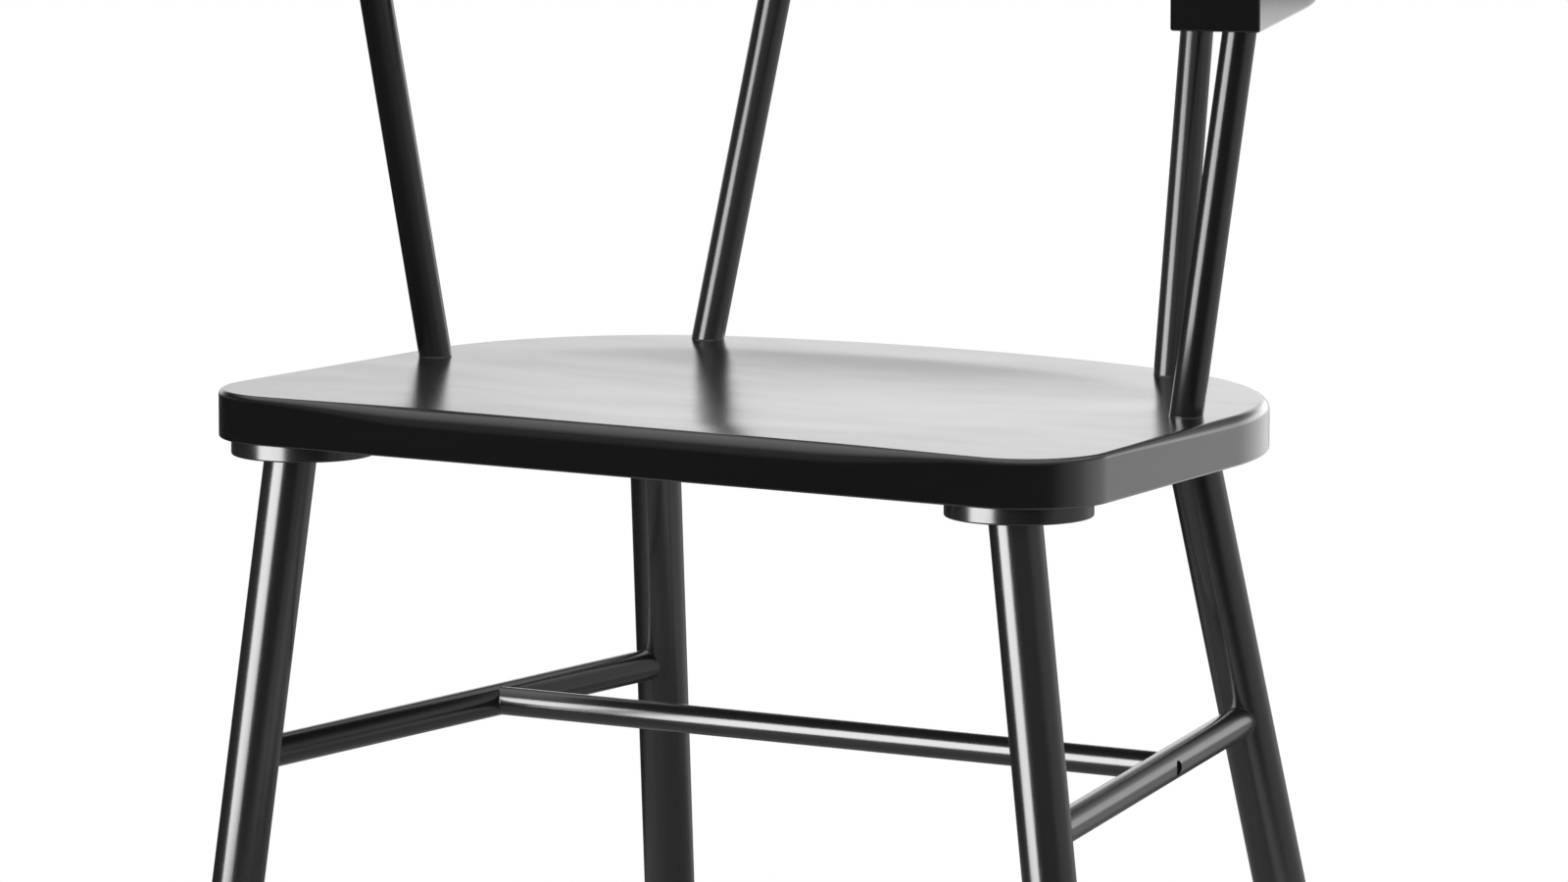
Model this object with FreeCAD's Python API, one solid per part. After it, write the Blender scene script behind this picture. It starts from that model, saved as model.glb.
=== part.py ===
import FreeCAD, Part
import math
import os

Vector = FreeCAD.Vector

# Low-back armchair: a dished seat board on four splayed legs with an H of stretchers, and a bow
# of two arms, a back rail and a crest, carried by four plain posts.
# Millimetres and degrees. The chair faces -Y, the sitter's left is +X and the floor is z = 0.
# Plan positions are taken from the seat's front edge, y = 0, and the finished chair is then
# centred over the origin.

# Seat board
SEAT_HEIGHT = 450.0          # floor to the seat's rim
SEAT_WIDTH = 561.5           # across the front, at the corners before they are rounded
SEAT_DEPTH = 384.0           # front edge to the middle of the back edge
SEAT_THICKNESS = 27.0
SEAT_TAPER = 3.25            # each side closes in by this angle towards the back
SEAT_FRONT_CORNER = 48.0     # radii of the outline, seen from above
SEAT_REAR_CORNER = 172.0
SEAT_BACK_RADIUS = 575.0
SEAT_TOP_ROUND = 6.0         # radii of the edges, seen from the side
SEAT_UNDER_ROUND = 1.5

# Dish of the seat
DISH_DEPTH = 4.0
DISH_WIDTH = 410.0
DISH_FROM_FRONT = 228.0      # front edge to the deepest point
DISH_FRONT_REACH = 198.0     # deepest point to the front and to the rear of the dish
DISH_REAR_REACH = 102.0
DISH_RUN_OUT = 1.1           # the dished surface runs on past the rim by this share
DISH_COLUMNS = 25            # points of the dished surface, across and along
DISH_ROWS = 19

# Legs, placed where their axes meet the underside of the seat
LEG_DIAMETER = 29.0
LEG_SOCKET_DEPTH = 17.0
FRONT_LEG_FROM_SIDE = 49.0
FRONT_LEG_FROM_FRONT = 35.0
FRONT_LEG_SPLAY = 7.5        # outward
FRONT_LEG_RAKE = -1.9        # backward
REAR_LEG_FROM_SIDE = 87.4
REAR_LEG_FROM_BACK = 62.5
REAR_LEG_SPLAY = 6.0
REAR_LEG_RAKE = 12.7

# Round pads that thicken the seat round the leg sockets
PAD_DIAMETER = 80.0
PAD_THICKNESS = 9.0
PAD_REVEAL = 1.5             # pads stay this far inside the seat's outline
PAD_EDGE = 1.0
FRONT_PAD_INSIDE_LEG = 1.5   # pads are set in from the legs, so that the seat covers them
FRONT_PAD_BEHIND_LEG = 8.3
REAR_PAD_INSIDE_LEG = 3.5
REAR_PAD_BEHIND_LEG = -14.5

# Stretchers
SIDE_STRETCHER_DIAMETER = 18.0
SIDE_STRETCHER_FRONT_HEIGHT = 244.5
SIDE_STRETCHER_REAR_HEIGHT = 257.5
SIDE_TENON_DIAMETER = 11.0
SIDE_TENON_DEPTH = 17.0
CROSS_STRETCHER_DIAMETER = 16.0
CROSS_STRETCHER_FROM_FRONT_LEG = 192.0
CROSS_TENON_DIAMETER = 8.0
CROSS_TENON_DEPTH = 8.0

# Posts, placed where their axes meet the rim of the seat
POST_DIAMETER = 18.5
POST_SEAT_DEPTH = 17.0
POST_BOW_DEPTH = 15.0
FRONT_POST_FROM_SIDE = 26.7
FRONT_POST_FROM_FRONT = 198.5
FRONT_POST_LEAN_OUT = 9.6
FRONT_POST_LEAN_BACK = -2.1
REAR_POST_FROM_SIDE = 107.5
REAR_POST_FROM_BACK = 20.5
REAR_POST_LEAN_OUT = -3.8
REAR_POST_LEAN_BACK = 15.2

# Bow: straight flared arms, tangent to one arc through the tops of the rear posts
BOW_CLEARANCE = 218.5        # seat rim to the underside of the bow
BOW_WIDTH = 48.5
BOW_THICKNESS = 27.0
BOW_EDGE = 1.5
ARM_FLARE = 18.0
ARM_OVERHANG = 74.0          # front post to the square end of the arm
BOW_JOINT_PAST_POST = 96.0   # along the bow, rear post to the joint of arm and back rail

# Crest on the back rail
CREST_HEIGHT = 72.0
CREST_END_HEIGHT = 6.0
CREST_BASE_WIDTH = 34.0
CREST_TOP_WIDTH = 20.0
CREST_LEAN = 11.0            # the crest leans back
CREST_CROWN = 0.36           # rounded share of the crest's height, up to CREST_CROWN_LIMIT
CREST_CROWN_LIMIT = 8.0
CREST_FULLNESS = 1.5         # above 1, the crest keeps its height further out
CREST_LAP = 26.0             # along the bow, joint to the end of the crest
CREST_SECTIONS = 13

# Dowels in the joints of the bow
DOWEL_DIAMETER = 10.0
DOWEL_LENGTH = 60.0
DOWEL_SPACING = 24.0

# Screws
STRETCHER_SCREW_DIAMETER = 3.5
STRETCHER_SCREW_HEAD = 8.0
STRETCHER_SCREW_LENGTH = 34.0
STRETCHER_SCREW_RECESS = 2.0
PAD_SCREW_DIAMETER = 3.5
PAD_SCREW_HEAD = 7.0
PAD_SCREW_BITE = 12.0        # length held in the seat
PAD_SCREW_SPACING = 56.0     # across a pad
PAD_SCREW_RECESS = 0.3
CREST_SCREW_DIAMETER = 4.5
CREST_SCREW_HEAD = 9.0
CREST_SCREW_BITE = 12.0      # length held in the crest
CREST_SCREW_RECESS = 3.0
CREST_SCREW_PAST_POST = 44.0  # along the bow, rear post to the outer screw
SCREW_POINT = 0.6            # share of the shank's radius that the point narrows by

# Glides nailed under the legs
GLIDE_DIAMETER = 20.0
GLIDE_THICKNESS = 5.0
GLIDE_EDGE = 1.0
GLIDE_NAIL_DIAMETER = 2.4
GLIDE_NAIL_LENGTH = 15.0

# Fits
GLUE_GAP = 0.15              # all round a tenon, dowel or screw
SOCKET_RELIEF = 0.6          # past the end of a tenon, dowel or screw
SAME_LEVEL = 0.01            # heights this close count as one level

UP = Vector(0, 0, 1)
UNDERSIDE = SEAT_HEIGHT - SEAT_THICKNESS
BOW_UNDERSIDE = SEAT_HEIGHT + BOW_CLEARANCE
BOW_TOP = BOW_UNDERSIDE + BOW_THICKNESS
SIDES = {"left": 1, "right": -1}


def tangent(angle):
    """Tangent of an angle in degrees."""
    return math.tan(math.radians(angle))


def leaning(out, back, rise=1):
    """Unit vector of a leg or post on the left side, from its angles in front and side view."""
    direction = Vector(tangent(out), tangent(back), rise)
    return direction.normalize()


def at_height(point, direction, height):
    """Point at a height on the line through a point."""
    return point + direction * ((height - point.z) / direction.z)


def rod(start, end, diameter):
    """Plain round rod between two points."""
    axis = end - start
    return Part.makeCylinder(diameter / 2, axis.Length, start, axis)


def to_side(shape, side):
    """The left-hand shape as it is, or mirrored for the right-hand side."""
    return shape if side > 0 else shape.mirror(Vector(), Vector(1, 0, 0))


def fused(shapes):
    """One solid of several that touch or overlap."""
    whole = shapes[0]
    for shape in shapes[1:]:
        whole = whole.fuse(shape)
    return whole.removeSplitter()


# Outline of the seat


def side_line_x(y):
    """Half width of the seat on its straight tapered side."""
    return SEAT_WIDTH / 2 - y * tangent(SEAT_TAPER)


def back_edge_y(x):
    """Back edge of the seat, on its wide arc."""
    return SEAT_DEPTH - SEAT_BACK_RADIUS + math.sqrt(SEAT_BACK_RADIUS ** 2 - x ** 2)


def rear_corner_centre():
    """Centre of the rear corner's arc, tangent to the side line and to the back arc."""
    taper = math.radians(SEAT_TAPER)
    start = Vector(SEAT_WIDTH / 2, 0, 0) - Vector(math.cos(taper), math.sin(taper), 0) * SEAT_REAR_CORNER
    along = Vector(-math.sin(taper), math.cos(taper), 0)
    from_back_centre = start - Vector(0, SEAT_DEPTH - SEAT_BACK_RADIUS, 0)
    reach = SEAT_BACK_RADIUS - SEAT_REAR_CORNER
    half = from_back_centre.dot(along)
    distance = -half + math.sqrt(half ** 2 - from_back_centre.Length ** 2 + reach ** 2)
    return start + along * distance


def arc_about(centre, radius, start_angle, end_angle):
    """Arc about a centre between two angles from the X axis, in radians."""
    points = []
    for angle in (start_angle, (start_angle + end_angle) / 2, end_angle):
        points.append(centre + Vector(math.cos(angle), math.sin(angle), 0) * radius)
    return Part.Arc(*points).toShape()


def seat_outline(inset):
    """Closed outline of the seat at z = 0, drawn in by an inset."""
    taper = math.radians(SEAT_TAPER)
    front_centre_x = SEAT_WIDTH / 2 - SEAT_FRONT_CORNER * (1 + math.sin(taper)) / math.cos(taper)
    front_centre = Vector(front_centre_x, SEAT_FRONT_CORNER, 0)
    rear_centre = rear_corner_centre()
    back_centre = Vector(0, SEAT_DEPTH - SEAT_BACK_RADIUS, 0)
    meeting = rear_centre - back_centre
    meeting_angle = math.atan2(meeting.y, meeting.x)
    front_corner = arc_about(front_centre, SEAT_FRONT_CORNER - inset, -math.pi / 2, taper)
    rear_corner = arc_about(rear_centre, SEAT_REAR_CORNER - inset, taper, meeting_angle)
    side = Part.makeLine(front_corner.Vertexes[-1].Point, rear_corner.Vertexes[0].Point)
    left_half = [front_corner, side, rear_corner]
    right_half = [edge.mirror(Vector(), Vector(1, 0, 0)) for edge in left_half]
    front = Part.makeLine(Vector(-front_centre_x, inset, 0), Vector(front_centre_x, inset, 0))
    back = arc_about(back_centre, SEAT_BACK_RADIUS - inset, meeting_angle, math.pi - meeting_angle)
    return Part.Wire(Part.__sortEdges__([front, back] + left_half + right_half))


def seat_prism(inset, bottom, height):
    """Upright block with the seat's outline, drawn in by an inset."""
    face = Part.Face(seat_outline(inset))
    face.translate(UP * bottom)
    return face.extrude(UP * height)


# Lines of the legs and posts on the left side


def leg_line(end):
    """Point on the seat's underside and downward direction of a front or rear leg."""
    if end == "front":
        y = FRONT_LEG_FROM_FRONT
        x = side_line_x(y) - FRONT_LEG_FROM_SIDE
        return Vector(x, y, UNDERSIDE), leaning(FRONT_LEG_SPLAY, FRONT_LEG_RAKE, -1)
    y = SEAT_DEPTH - REAR_LEG_FROM_BACK
    x = side_line_x(y) - REAR_LEG_FROM_SIDE
    return Vector(x, y, UNDERSIDE), leaning(REAR_LEG_SPLAY, REAR_LEG_RAKE, -1)


def post_line(end):
    """Point on the seat's rim and upward direction of a front or rear post."""
    if end == "front":
        y = FRONT_POST_FROM_FRONT
        x = side_line_x(y) - FRONT_POST_FROM_SIDE
        return Vector(x, y, SEAT_HEIGHT), leaning(FRONT_POST_LEAN_OUT, FRONT_POST_LEAN_BACK)
    x = side_line_x(SEAT_DEPTH) - REAR_POST_FROM_SIDE
    y = back_edge_y(x) - REAR_POST_FROM_BACK
    return Vector(x, y, SEAT_HEIGHT), leaning(REAR_POST_LEAN_OUT, REAR_POST_LEAN_BACK)


ENDS = ("front", "rear")
LEG_LINES = {end: leg_line(end) for end in ENDS}
POST_LINES = {end: post_line(end) for end in ENDS}


def pad_centre(end):
    """Centre of a left pad's lower face."""
    at_seat = LEG_LINES[end][0]
    if end == "front":
        return at_seat + Vector(-FRONT_PAD_INSIDE_LEG, FRONT_PAD_BEHIND_LEG, -PAD_THICKNESS)
    return at_seat + Vector(-REAR_PAD_INSIDE_LEG, REAR_PAD_BEHIND_LEG, -PAD_THICKNESS)


def leg_rod(end, extra=0.0, relief=0.0):
    """Leg from its top in the seat to below the floor, or its socket when given an extra and a relief."""
    at_seat, direction = LEG_LINES[end]
    top = at_seat - direction * (LEG_SOCKET_DEPTH + relief)
    below = at_height(at_seat, direction, -LEG_DIAMETER)
    return rod(top, below, LEG_DIAMETER + 2 * extra)


def post_rod(end, extra=0.0, relief=0.0):
    """Post with both ends in their sockets, or its socket when given an extra and a relief."""
    base, direction = POST_LINES[end]
    bottom = base - direction * (POST_SEAT_DEPTH + relief)
    top = at_height(base, direction, BOW_UNDERSIDE) + direction * (POST_BOW_DEPTH + relief)
    return rod(bottom, top, POST_DIAMETER + 2 * extra)


# Lines of the stretchers on the left side


def side_stretcher_ends():
    """Where the axis of the side stretcher meets the axes of the legs."""
    front = at_height(*LEG_LINES["front"], SIDE_STRETCHER_FRONT_HEIGHT)
    rear = at_height(*LEG_LINES["rear"], SIDE_STRETCHER_REAR_HEIGHT)
    return front, rear


def cross_stretcher_end():
    """Where the axis of the cross stretcher meets the axis of the side stretcher."""
    front, rear = side_stretcher_ends()
    along = rear - front
    return front + along * (CROSS_STRETCHER_FROM_FRONT_LEG / along.y)


def side_tenon(end, extra=0.0, relief=0.0):
    """Tenon of the side stretcher in a leg, or its mortise when given an extra and a relief."""
    front, rear = side_stretcher_ends()
    start, other = (front, rear) if end == "front" else (rear, front)
    inward = (other - start).normalize()
    tip = start + inward * (LEG_DIAMETER / 2 - SIDE_TENON_DEPTH - relief)
    root = start + inward * LEG_DIAMETER
    return rod(tip, root, SIDE_TENON_DIAMETER + 2 * extra)


def cross_tenon(extra=0.0, relief=0.0):
    """Tenon of the cross stretcher in the left side stretcher, or its mortise."""
    end = cross_stretcher_end()
    tip = end + Vector(CROSS_TENON_DEPTH - SIDE_STRETCHER_DIAMETER / 2 + relief, 0, 0)
    root = end - Vector(SIDE_STRETCHER_DIAMETER, 0, 0)
    return rod(root, tip, CROSS_TENON_DIAMETER + 2 * extra)


def side_stretcher_rod(extra=0.0):
    """Side stretcher from leg axis to leg axis, thicker by an extra all round."""
    return rod(*side_stretcher_ends(), SIDE_STRETCHER_DIAMETER + 2 * extra)


# Plan of the bow


def bow_arc():
    """Centre and radius of the bow's arc: through the rear posts and tangent to the arms."""
    front = at_height(*POST_LINES["front"], BOW_UNDERSIDE)
    rear = at_height(*POST_LINES["rear"], BOW_UNDERSIDE)
    sine = math.sin(math.radians(ARM_FLARE))
    cosine = math.cos(math.radians(ARM_FLARE))
    reach = front.x * cosine + front.y * sine
    a = cosine ** 2
    b = 2 * (reach * sine - rear.y)
    c = rear.x ** 2 + rear.y ** 2 - reach ** 2
    y = (-b - math.sqrt(b ** 2 - 4 * a * c)) / (2 * a)
    return Vector(0, y, 0), reach - y * sine


BOW_CENTRE, BOW_RADIUS = bow_arc()
REAR_POST_TOP = at_height(*POST_LINES["rear"], BOW_UNDERSIDE)
REAR_POST_ANGLE = math.atan2(REAR_POST_TOP.x, REAR_POST_TOP.y - BOW_CENTRE.y)
JOINT_ANGLE = REAR_POST_ANGLE + BOW_JOINT_PAST_POST / BOW_RADIUS
CREST_END_ANGLE = JOINT_ANGLE + CREST_LAP / BOW_RADIUS


def outward(angle):
    """Unit vector from the bow's centre, at an angle from the middle of the back to the left."""
    return Vector(math.sin(angle), math.cos(angle), 0)


def on_bow(angle, height, offset=0.0):
    """Point on the bow's centre line, or offset outward from it."""
    return BOW_CENTRE + outward(angle) * (BOW_RADIUS + offset) + UP * height


def bow_slab(outline):
    """Segment of the bow, as thick as the board that it is sawn from."""
    return Part.Face(Part.Wire(outline)).extrude(UP * BOW_THICKNESS)


def eased(slab):
    """Slab with its long top and bottom edges eased; the joint faces at the ends stay square."""
    long_edges = []
    for edge in slab.Edges:
        level = abs(edge.Vertexes[0].Z - edge.Vertexes[-1].Z) < SAME_LEVEL
        at_joint = abs(abs(edge_angle(edge)) - JOINT_ANGLE) * BOW_RADIUS < BOW_EDGE
        if level and not at_joint:
            long_edges.append(edge)
    return slab.makeFillet(BOW_EDGE, long_edges)


def edge_angle(edge):
    """Angle on the bow of an edge's middle."""
    middle = edge.valueAt((edge.FirstParameter + edge.LastParameter) / 2) - BOW_CENTRE
    return math.atan2(middle.x, middle.y)


def bow_dowel(place, side=1, extra=0.0, relief=0.0):
    """Dowel across the left joint of the bow, on the inner or outer place, or its hole."""
    middle = on_bow(JOINT_ANGLE, BOW_UNDERSIDE + BOW_THICKNESS / 2, place * DOWEL_SPACING / 2)
    along = Vector(math.cos(JOINT_ANGLE), -math.sin(JOINT_ANGLE), 0) * (DOWEL_LENGTH / 2 + relief)
    return to_side(rod(middle - along, middle + along, DOWEL_DIAMETER + 2 * extra), side)


# Screws with countersunk heads and pointed shanks, and their holes


def screw(head_centre, direction, length, diameter, head):
    """Screw with the middle of its flat head face at a point, driven along a direction."""
    cone_depth = (head - diameter) / 2
    point_depth = diameter
    cone = Part.makeCone(head / 2, diameter / 2, cone_depth, head_centre, direction)
    shank = Part.makeCylinder(diameter / 2, length - point_depth, head_centre, direction)
    point_start = head_centre + direction * (length - point_depth)
    tip_radius = diameter / 2 * (1 - SCREW_POINT)
    point = Part.makeCone(diameter / 2, tip_radius, point_depth, point_start, direction)
    return fused([cone, shank, point])


def screw_hole(head_centre, direction, length, diameter, head):
    """Hole for a screw, going on outward above the head."""
    wide = head + 2 * GLUE_GAP
    narrow = diameter + 2 * GLUE_GAP
    mouth = Part.makeCylinder(wide / 2, wide, head_centre - direction * wide, direction)
    cone = Part.makeCone(wide / 2, narrow / 2, (wide - narrow) / 2, head_centre, direction)
    shank = Part.makeCylinder(narrow / 2, length + SOCKET_RELIEF, head_centre, direction)
    return fused([mouth, cone, shank])


def stretcher_screw(kind):
    """Screw through the left side stretcher into the cross stretcher, or its hole."""
    outward_by = SIDE_STRETCHER_DIAMETER / 2 - STRETCHER_SCREW_RECESS
    head_centre = cross_stretcher_end() + Vector(outward_by, 0, 0)
    inward = Vector(-1, 0, 0)
    return kind(head_centre, inward, STRETCHER_SCREW_LENGTH, STRETCHER_SCREW_DIAMETER, STRETCHER_SCREW_HEAD)


def pad_screw(kind, end, place):
    """Screw beside a left leg through its pad into the seat, or its hole."""
    head_centre = pad_centre(end) + Vector(place * PAD_SCREW_SPACING / 2, 0, PAD_SCREW_RECESS)
    length = PAD_THICKNESS - PAD_SCREW_RECESS + PAD_SCREW_BITE
    return kind(head_centre, UP, length, PAD_SCREW_DIAMETER, PAD_SCREW_HEAD)


def crest_screw(kind, angle):
    """Screw from below through the back rail into the crest, or its hole."""
    head_centre = on_bow(angle, BOW_UNDERSIDE + CREST_SCREW_RECESS)
    length = BOW_THICKNESS - CREST_SCREW_RECESS + CREST_SCREW_BITE
    return kind(head_centre, UP, length, CREST_SCREW_DIAMETER, CREST_SCREW_HEAD)


def crest_screw_angles():
    """Places of the crest's screws on the bow: two between the rear posts and two outside them."""
    inner = REAR_POST_ANGLE / 2
    outer = REAR_POST_ANGLE + CREST_SCREW_PAST_POST / BOW_RADIUS
    return (-outer, -inner, inner, outer)


# The pieces


def seat_dish():
    """Block above the dished surface of the seat, to be taken out of the board."""
    grid = []
    for column in range(DISH_COLUMNS):
        across = DISH_RUN_OUT * (2 * column / (DISH_COLUMNS - 1) - 1)
        line = []
        for row in range(DISH_ROWS):
            along = DISH_RUN_OUT * (2 * row / (DISH_ROWS - 1) - 1)
            reach = DISH_REAR_REACH if along > 0 else DISH_FRONT_REACH
            depth = DISH_DEPTH * (1 - across ** 2 - along ** 2)
            y = DISH_FROM_FRONT + along * reach
            line.append(Vector(across * DISH_WIDTH / 2, y, SEAT_HEIGHT - depth))
        grid.append(line)
    surface = Part.BSplineSurface()
    surface.interpolate(grid)
    return surface.toShape().extrude(UP * SEAT_THICKNESS)


def seat_board():
    """Seat board with eased edges, its dish, and blind sockets for legs, posts and pad screws."""
    board = seat_prism(0.0, UNDERSIDE, SEAT_THICKNESS)
    top_edges = [e for e in board.Edges if e.BoundBox.ZMin > SEAT_HEIGHT - SAME_LEVEL]
    board = board.makeFillet(SEAT_TOP_ROUND, top_edges)
    under_edges = [e for e in board.Edges if e.BoundBox.ZMax < UNDERSIDE + SAME_LEVEL]
    board = board.makeFillet(SEAT_UNDER_ROUND, under_edges)
    board = board.cut(seat_dish())
    for side in SIDES.values():
        for end in ENDS:
            board = board.cut(to_side(leg_rod(end, GLUE_GAP, SOCKET_RELIEF), side))
            board = board.cut(to_side(post_rod(end, GLUE_GAP, SOCKET_RELIEF), side))
            for place in (-1, 1):
                board = board.cut(to_side(pad_screw(screw_hole, end, place), side))
    return board


def leg(end):
    """Left leg, cut level above its glide, with the mortise of its stretcher and the nail's hole."""
    end_centre = at_height(*LEG_LINES[end], GLIDE_THICKNESS)
    waste = 2 * LEG_DIAMETER
    below = Part.makeBox(waste, waste, waste, end_centre - Vector(waste / 2, waste / 2, waste))
    nail_top = end_centre + UP * (GLIDE_NAIL_LENGTH + SOCKET_RELIEF)
    nail_hole = rod(end_centre, nail_top, GLIDE_NAIL_DIAMETER + 2 * GLUE_GAP)
    shape = leg_rod(end).cut(below)
    return shape.cut(nail_hole).cut(side_tenon(end, GLUE_GAP, SOCKET_RELIEF))


def glide(end):
    """Glide of the left leg: a round foot with its nail."""
    top = at_height(*LEG_LINES[end], GLIDE_THICKNESS)
    base = top - UP * GLIDE_THICKNESS
    foot = Part.makeCylinder(GLIDE_DIAMETER / 2, GLIDE_THICKNESS, base)
    rim = [e for e in foot.Edges if e.BoundBox.ZMax < SAME_LEVEL]
    foot = foot.makeFillet(GLIDE_EDGE, rim)
    nail = rod(base + UP * GLIDE_EDGE, top + UP * GLIDE_NAIL_LENGTH, GLIDE_NAIL_DIAMETER)
    return fused([foot, nail])


def pad(end):
    """Round pad under the seat at a left leg, trimmed to the seat's outline."""
    centre = pad_centre(end)
    shape = Part.makeCylinder(PAD_DIAMETER / 2, PAD_THICKNESS, centre)
    shape = shape.common(seat_prism(PAD_REVEAL, centre.z, PAD_THICKNESS))
    rim = [e for e in shape.Edges if e.BoundBox.ZMax < centre.z + SAME_LEVEL]
    shape = shape.makeFillet(PAD_EDGE, rim)
    shape = shape.cut(leg_rod(end, GLUE_GAP, SOCKET_RELIEF))
    for place in (-1, 1):
        shape = shape.cut(pad_screw(screw_hole, end, place))
    return shape


def side_stretcher():
    """Left side stretcher: scribed to the legs, tenoned into them, and bored for the cross stretcher."""
    shape = side_stretcher_rod()
    for end in ENDS:
        shape = shape.cut(leg_rod(end, GLUE_GAP))
    shape = fused([shape, side_tenon("front"), side_tenon("rear")])
    shape = shape.cut(cross_tenon(GLUE_GAP, SOCKET_RELIEF))
    return shape.cut(stretcher_screw(screw_hole))


def cross_stretcher():
    """Cross stretcher: scribed to the side stretchers, with a stub tenon and a screw hole at each end."""
    left_end = cross_stretcher_end()
    right_end = Vector(-left_end.x, left_end.y, left_end.z)
    shape = rod(right_end, left_end, CROSS_STRETCHER_DIAMETER)
    for side in SIDES.values():
        shape = shape.cut(to_side(side_stretcher_rod(GLUE_GAP), side))
    shape = fused([shape] + [to_side(cross_tenon(), side) for side in SIDES.values()])
    for side in SIDES.values():
        shape = shape.cut(to_side(stretcher_screw(screw_hole), side))
    return shape


def arm():
    """Left arm: straight and flared, then bent round to the joint with the back rail."""
    flare = math.radians(ARM_FLARE)
    bend_start = math.pi / 2 - flare
    ahead = Vector(math.sin(flare), -math.cos(flare), 0)
    front_post = at_height(*POST_LINES["front"], BOW_UNDERSIDE)
    length = (front_post - on_bow(bend_start, BOW_UNDERSIDE)).dot(ahead) + ARM_OVERHANG
    edges = []
    for half in (-BOW_WIDTH / 2, BOW_WIDTH / 2):
        joint = on_bow(JOINT_ANGLE, BOW_UNDERSIDE, half)
        middle = on_bow((JOINT_ANGLE + bend_start) / 2, BOW_UNDERSIDE, half)
        bend = on_bow(bend_start, BOW_UNDERSIDE, half)
        tip = bend + ahead * length
        edges.append((joint, middle, bend, tip))
    inner, outer = edges
    outer_side = [Part.Arc(*outer[:3]).toShape(), Part.makeLine(outer[2], outer[3])]
    inner_side = [Part.makeLine(inner[3], inner[2]), Part.Arc(*reversed(inner[:3])).toShape()]
    front_end = Part.makeLine(outer[3], inner[3])
    joint_end = Part.makeLine(inner[0], outer[0])
    shape = eased(bow_slab(outer_side + [front_end] + inner_side + [joint_end]))
    shape = shape.cut(post_rod("front", GLUE_GAP, SOCKET_RELIEF))
    for place in (-1, 1):
        shape = shape.cut(bow_dowel(place, 1, GLUE_GAP, SOCKET_RELIEF))
    return shape


def back_rail():
    """Back rail between the two arms, on the rear posts."""
    arcs = []
    for half in (-BOW_WIDTH / 2, BOW_WIDTH / 2):
        points = [on_bow(angle, BOW_UNDERSIDE, half) for angle in (-JOINT_ANGLE, 0.0, JOINT_ANGLE)]
        arcs.append(points)
    inner, outer = arcs
    outline = [Part.Arc(*outer).toShape(), Part.makeLine(outer[2], inner[2]),
               Part.Arc(*reversed(inner)).toShape(), Part.makeLine(inner[0], outer[0])]
    shape = eased(bow_slab(outline))
    for side in SIDES.values():
        shape = shape.cut(to_side(post_rod("rear", GLUE_GAP, SOCKET_RELIEF), side))
        for place in (-1, 1):
            shape = shape.cut(bow_dowel(place, side, GLUE_GAP, SOCKET_RELIEF))
    for angle in crest_screw_angles():
        shape = shape.cut(crest_screw(screw_hole, angle))
    return shape


def crest_section(angle):
    """Section of the crest at an angle on the bow: leaning sides under a rounded top."""
    outness = abs(angle / CREST_END_ANGLE) ** CREST_FULLNESS
    share = math.cos(math.pi / 2 * outness) ** 2
    height = CREST_END_HEIGHT + (CREST_HEIGHT - CREST_END_HEIGHT) * share
    crown = min(height * CREST_CROWN, CREST_CROWN_LIMIT)
    shoulder = height - crown
    lean = shoulder * tangent(CREST_LEAN)
    narrowing = (CREST_BASE_WIDTH - CREST_TOP_WIDTH) / 2 * shoulder / CREST_HEIGHT
    half = CREST_BASE_WIDTH / 2
    inner_foot = on_bow(angle, BOW_TOP, -half)
    outer_foot = on_bow(angle, BOW_TOP, half)
    outer_shoulder = on_bow(angle, BOW_TOP + shoulder, half + lean - narrowing)
    inner_shoulder = on_bow(angle, BOW_TOP + shoulder, -half + lean + narrowing)
    peak = on_bow(angle, BOW_TOP + height, lean)
    return Part.Wire([Part.makeLine(inner_foot, outer_foot), Part.makeLine(outer_foot, outer_shoulder),
                      Part.Arc(outer_shoulder, peak, inner_shoulder).toShape(),
                      Part.makeLine(inner_shoulder, inner_foot)])


def back_crest():
    """Crest: highest in the middle of the back, swept down over the joints of the bow."""
    sections = []
    for index in range(CREST_SECTIONS):
        angle = CREST_END_ANGLE * (2 * index / (CREST_SECTIONS - 1) - 1)
        sections.append(crest_section(angle))
    shape = Part.makeLoft(sections, True)
    for angle in crest_screw_angles():
        shape = shape.cut(crest_screw(screw_hole, angle))
    return shape


def grouped_pieces():
    """Small pieces that are alike, each group in one node."""
    pad_screws = []
    stretcher_screws = []
    dowels = []
    for side in SIDES.values():
        stretcher_screws.append(to_side(stretcher_screw(screw), side))
        for place in (-1, 1):
            dowels.append(bow_dowel(place, side))
            for end in ENDS:
                pad_screws.append(to_side(pad_screw(screw, end, place), side))
    crest_screws = [crest_screw(screw, angle) for angle in crest_screw_angles()]
    return {
        "pad_screws": Part.makeCompound(pad_screws),
        "stretcher_screws": Part.makeCompound(stretcher_screws),
        "bow_dowels": Part.makeCompound(dowels),
        "crest_screws": Part.makeCompound(crest_screws),
    }


def chair():
    """Every piece of the chair by the name of its node."""
    pieces = {
        "seat_board": seat_board(),
        "cross_stretcher": cross_stretcher(),
        "back_rail": back_rail(),
        "back_crest": back_crest(),
    }
    left_pieces = {"side_stretcher": side_stretcher(), "arm": arm()}
    corner_pieces = {}
    for end in ENDS:
        corner_pieces[end] = {"leg": leg(end), "pad": pad(end), "post": post_rod(end), "glide": glide(end)}
    for hand, side in SIDES.items():
        for name, shape in left_pieces.items():
            pieces[hand + "_" + name] = to_side(shape, side)
        for end in ENDS:
            for name, shape in corner_pieces[end].items():
                pieces[end + "_" + hand + "_" + name] = to_side(shape, side)
    pieces.update(grouped_pieces())
    return pieces


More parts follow.
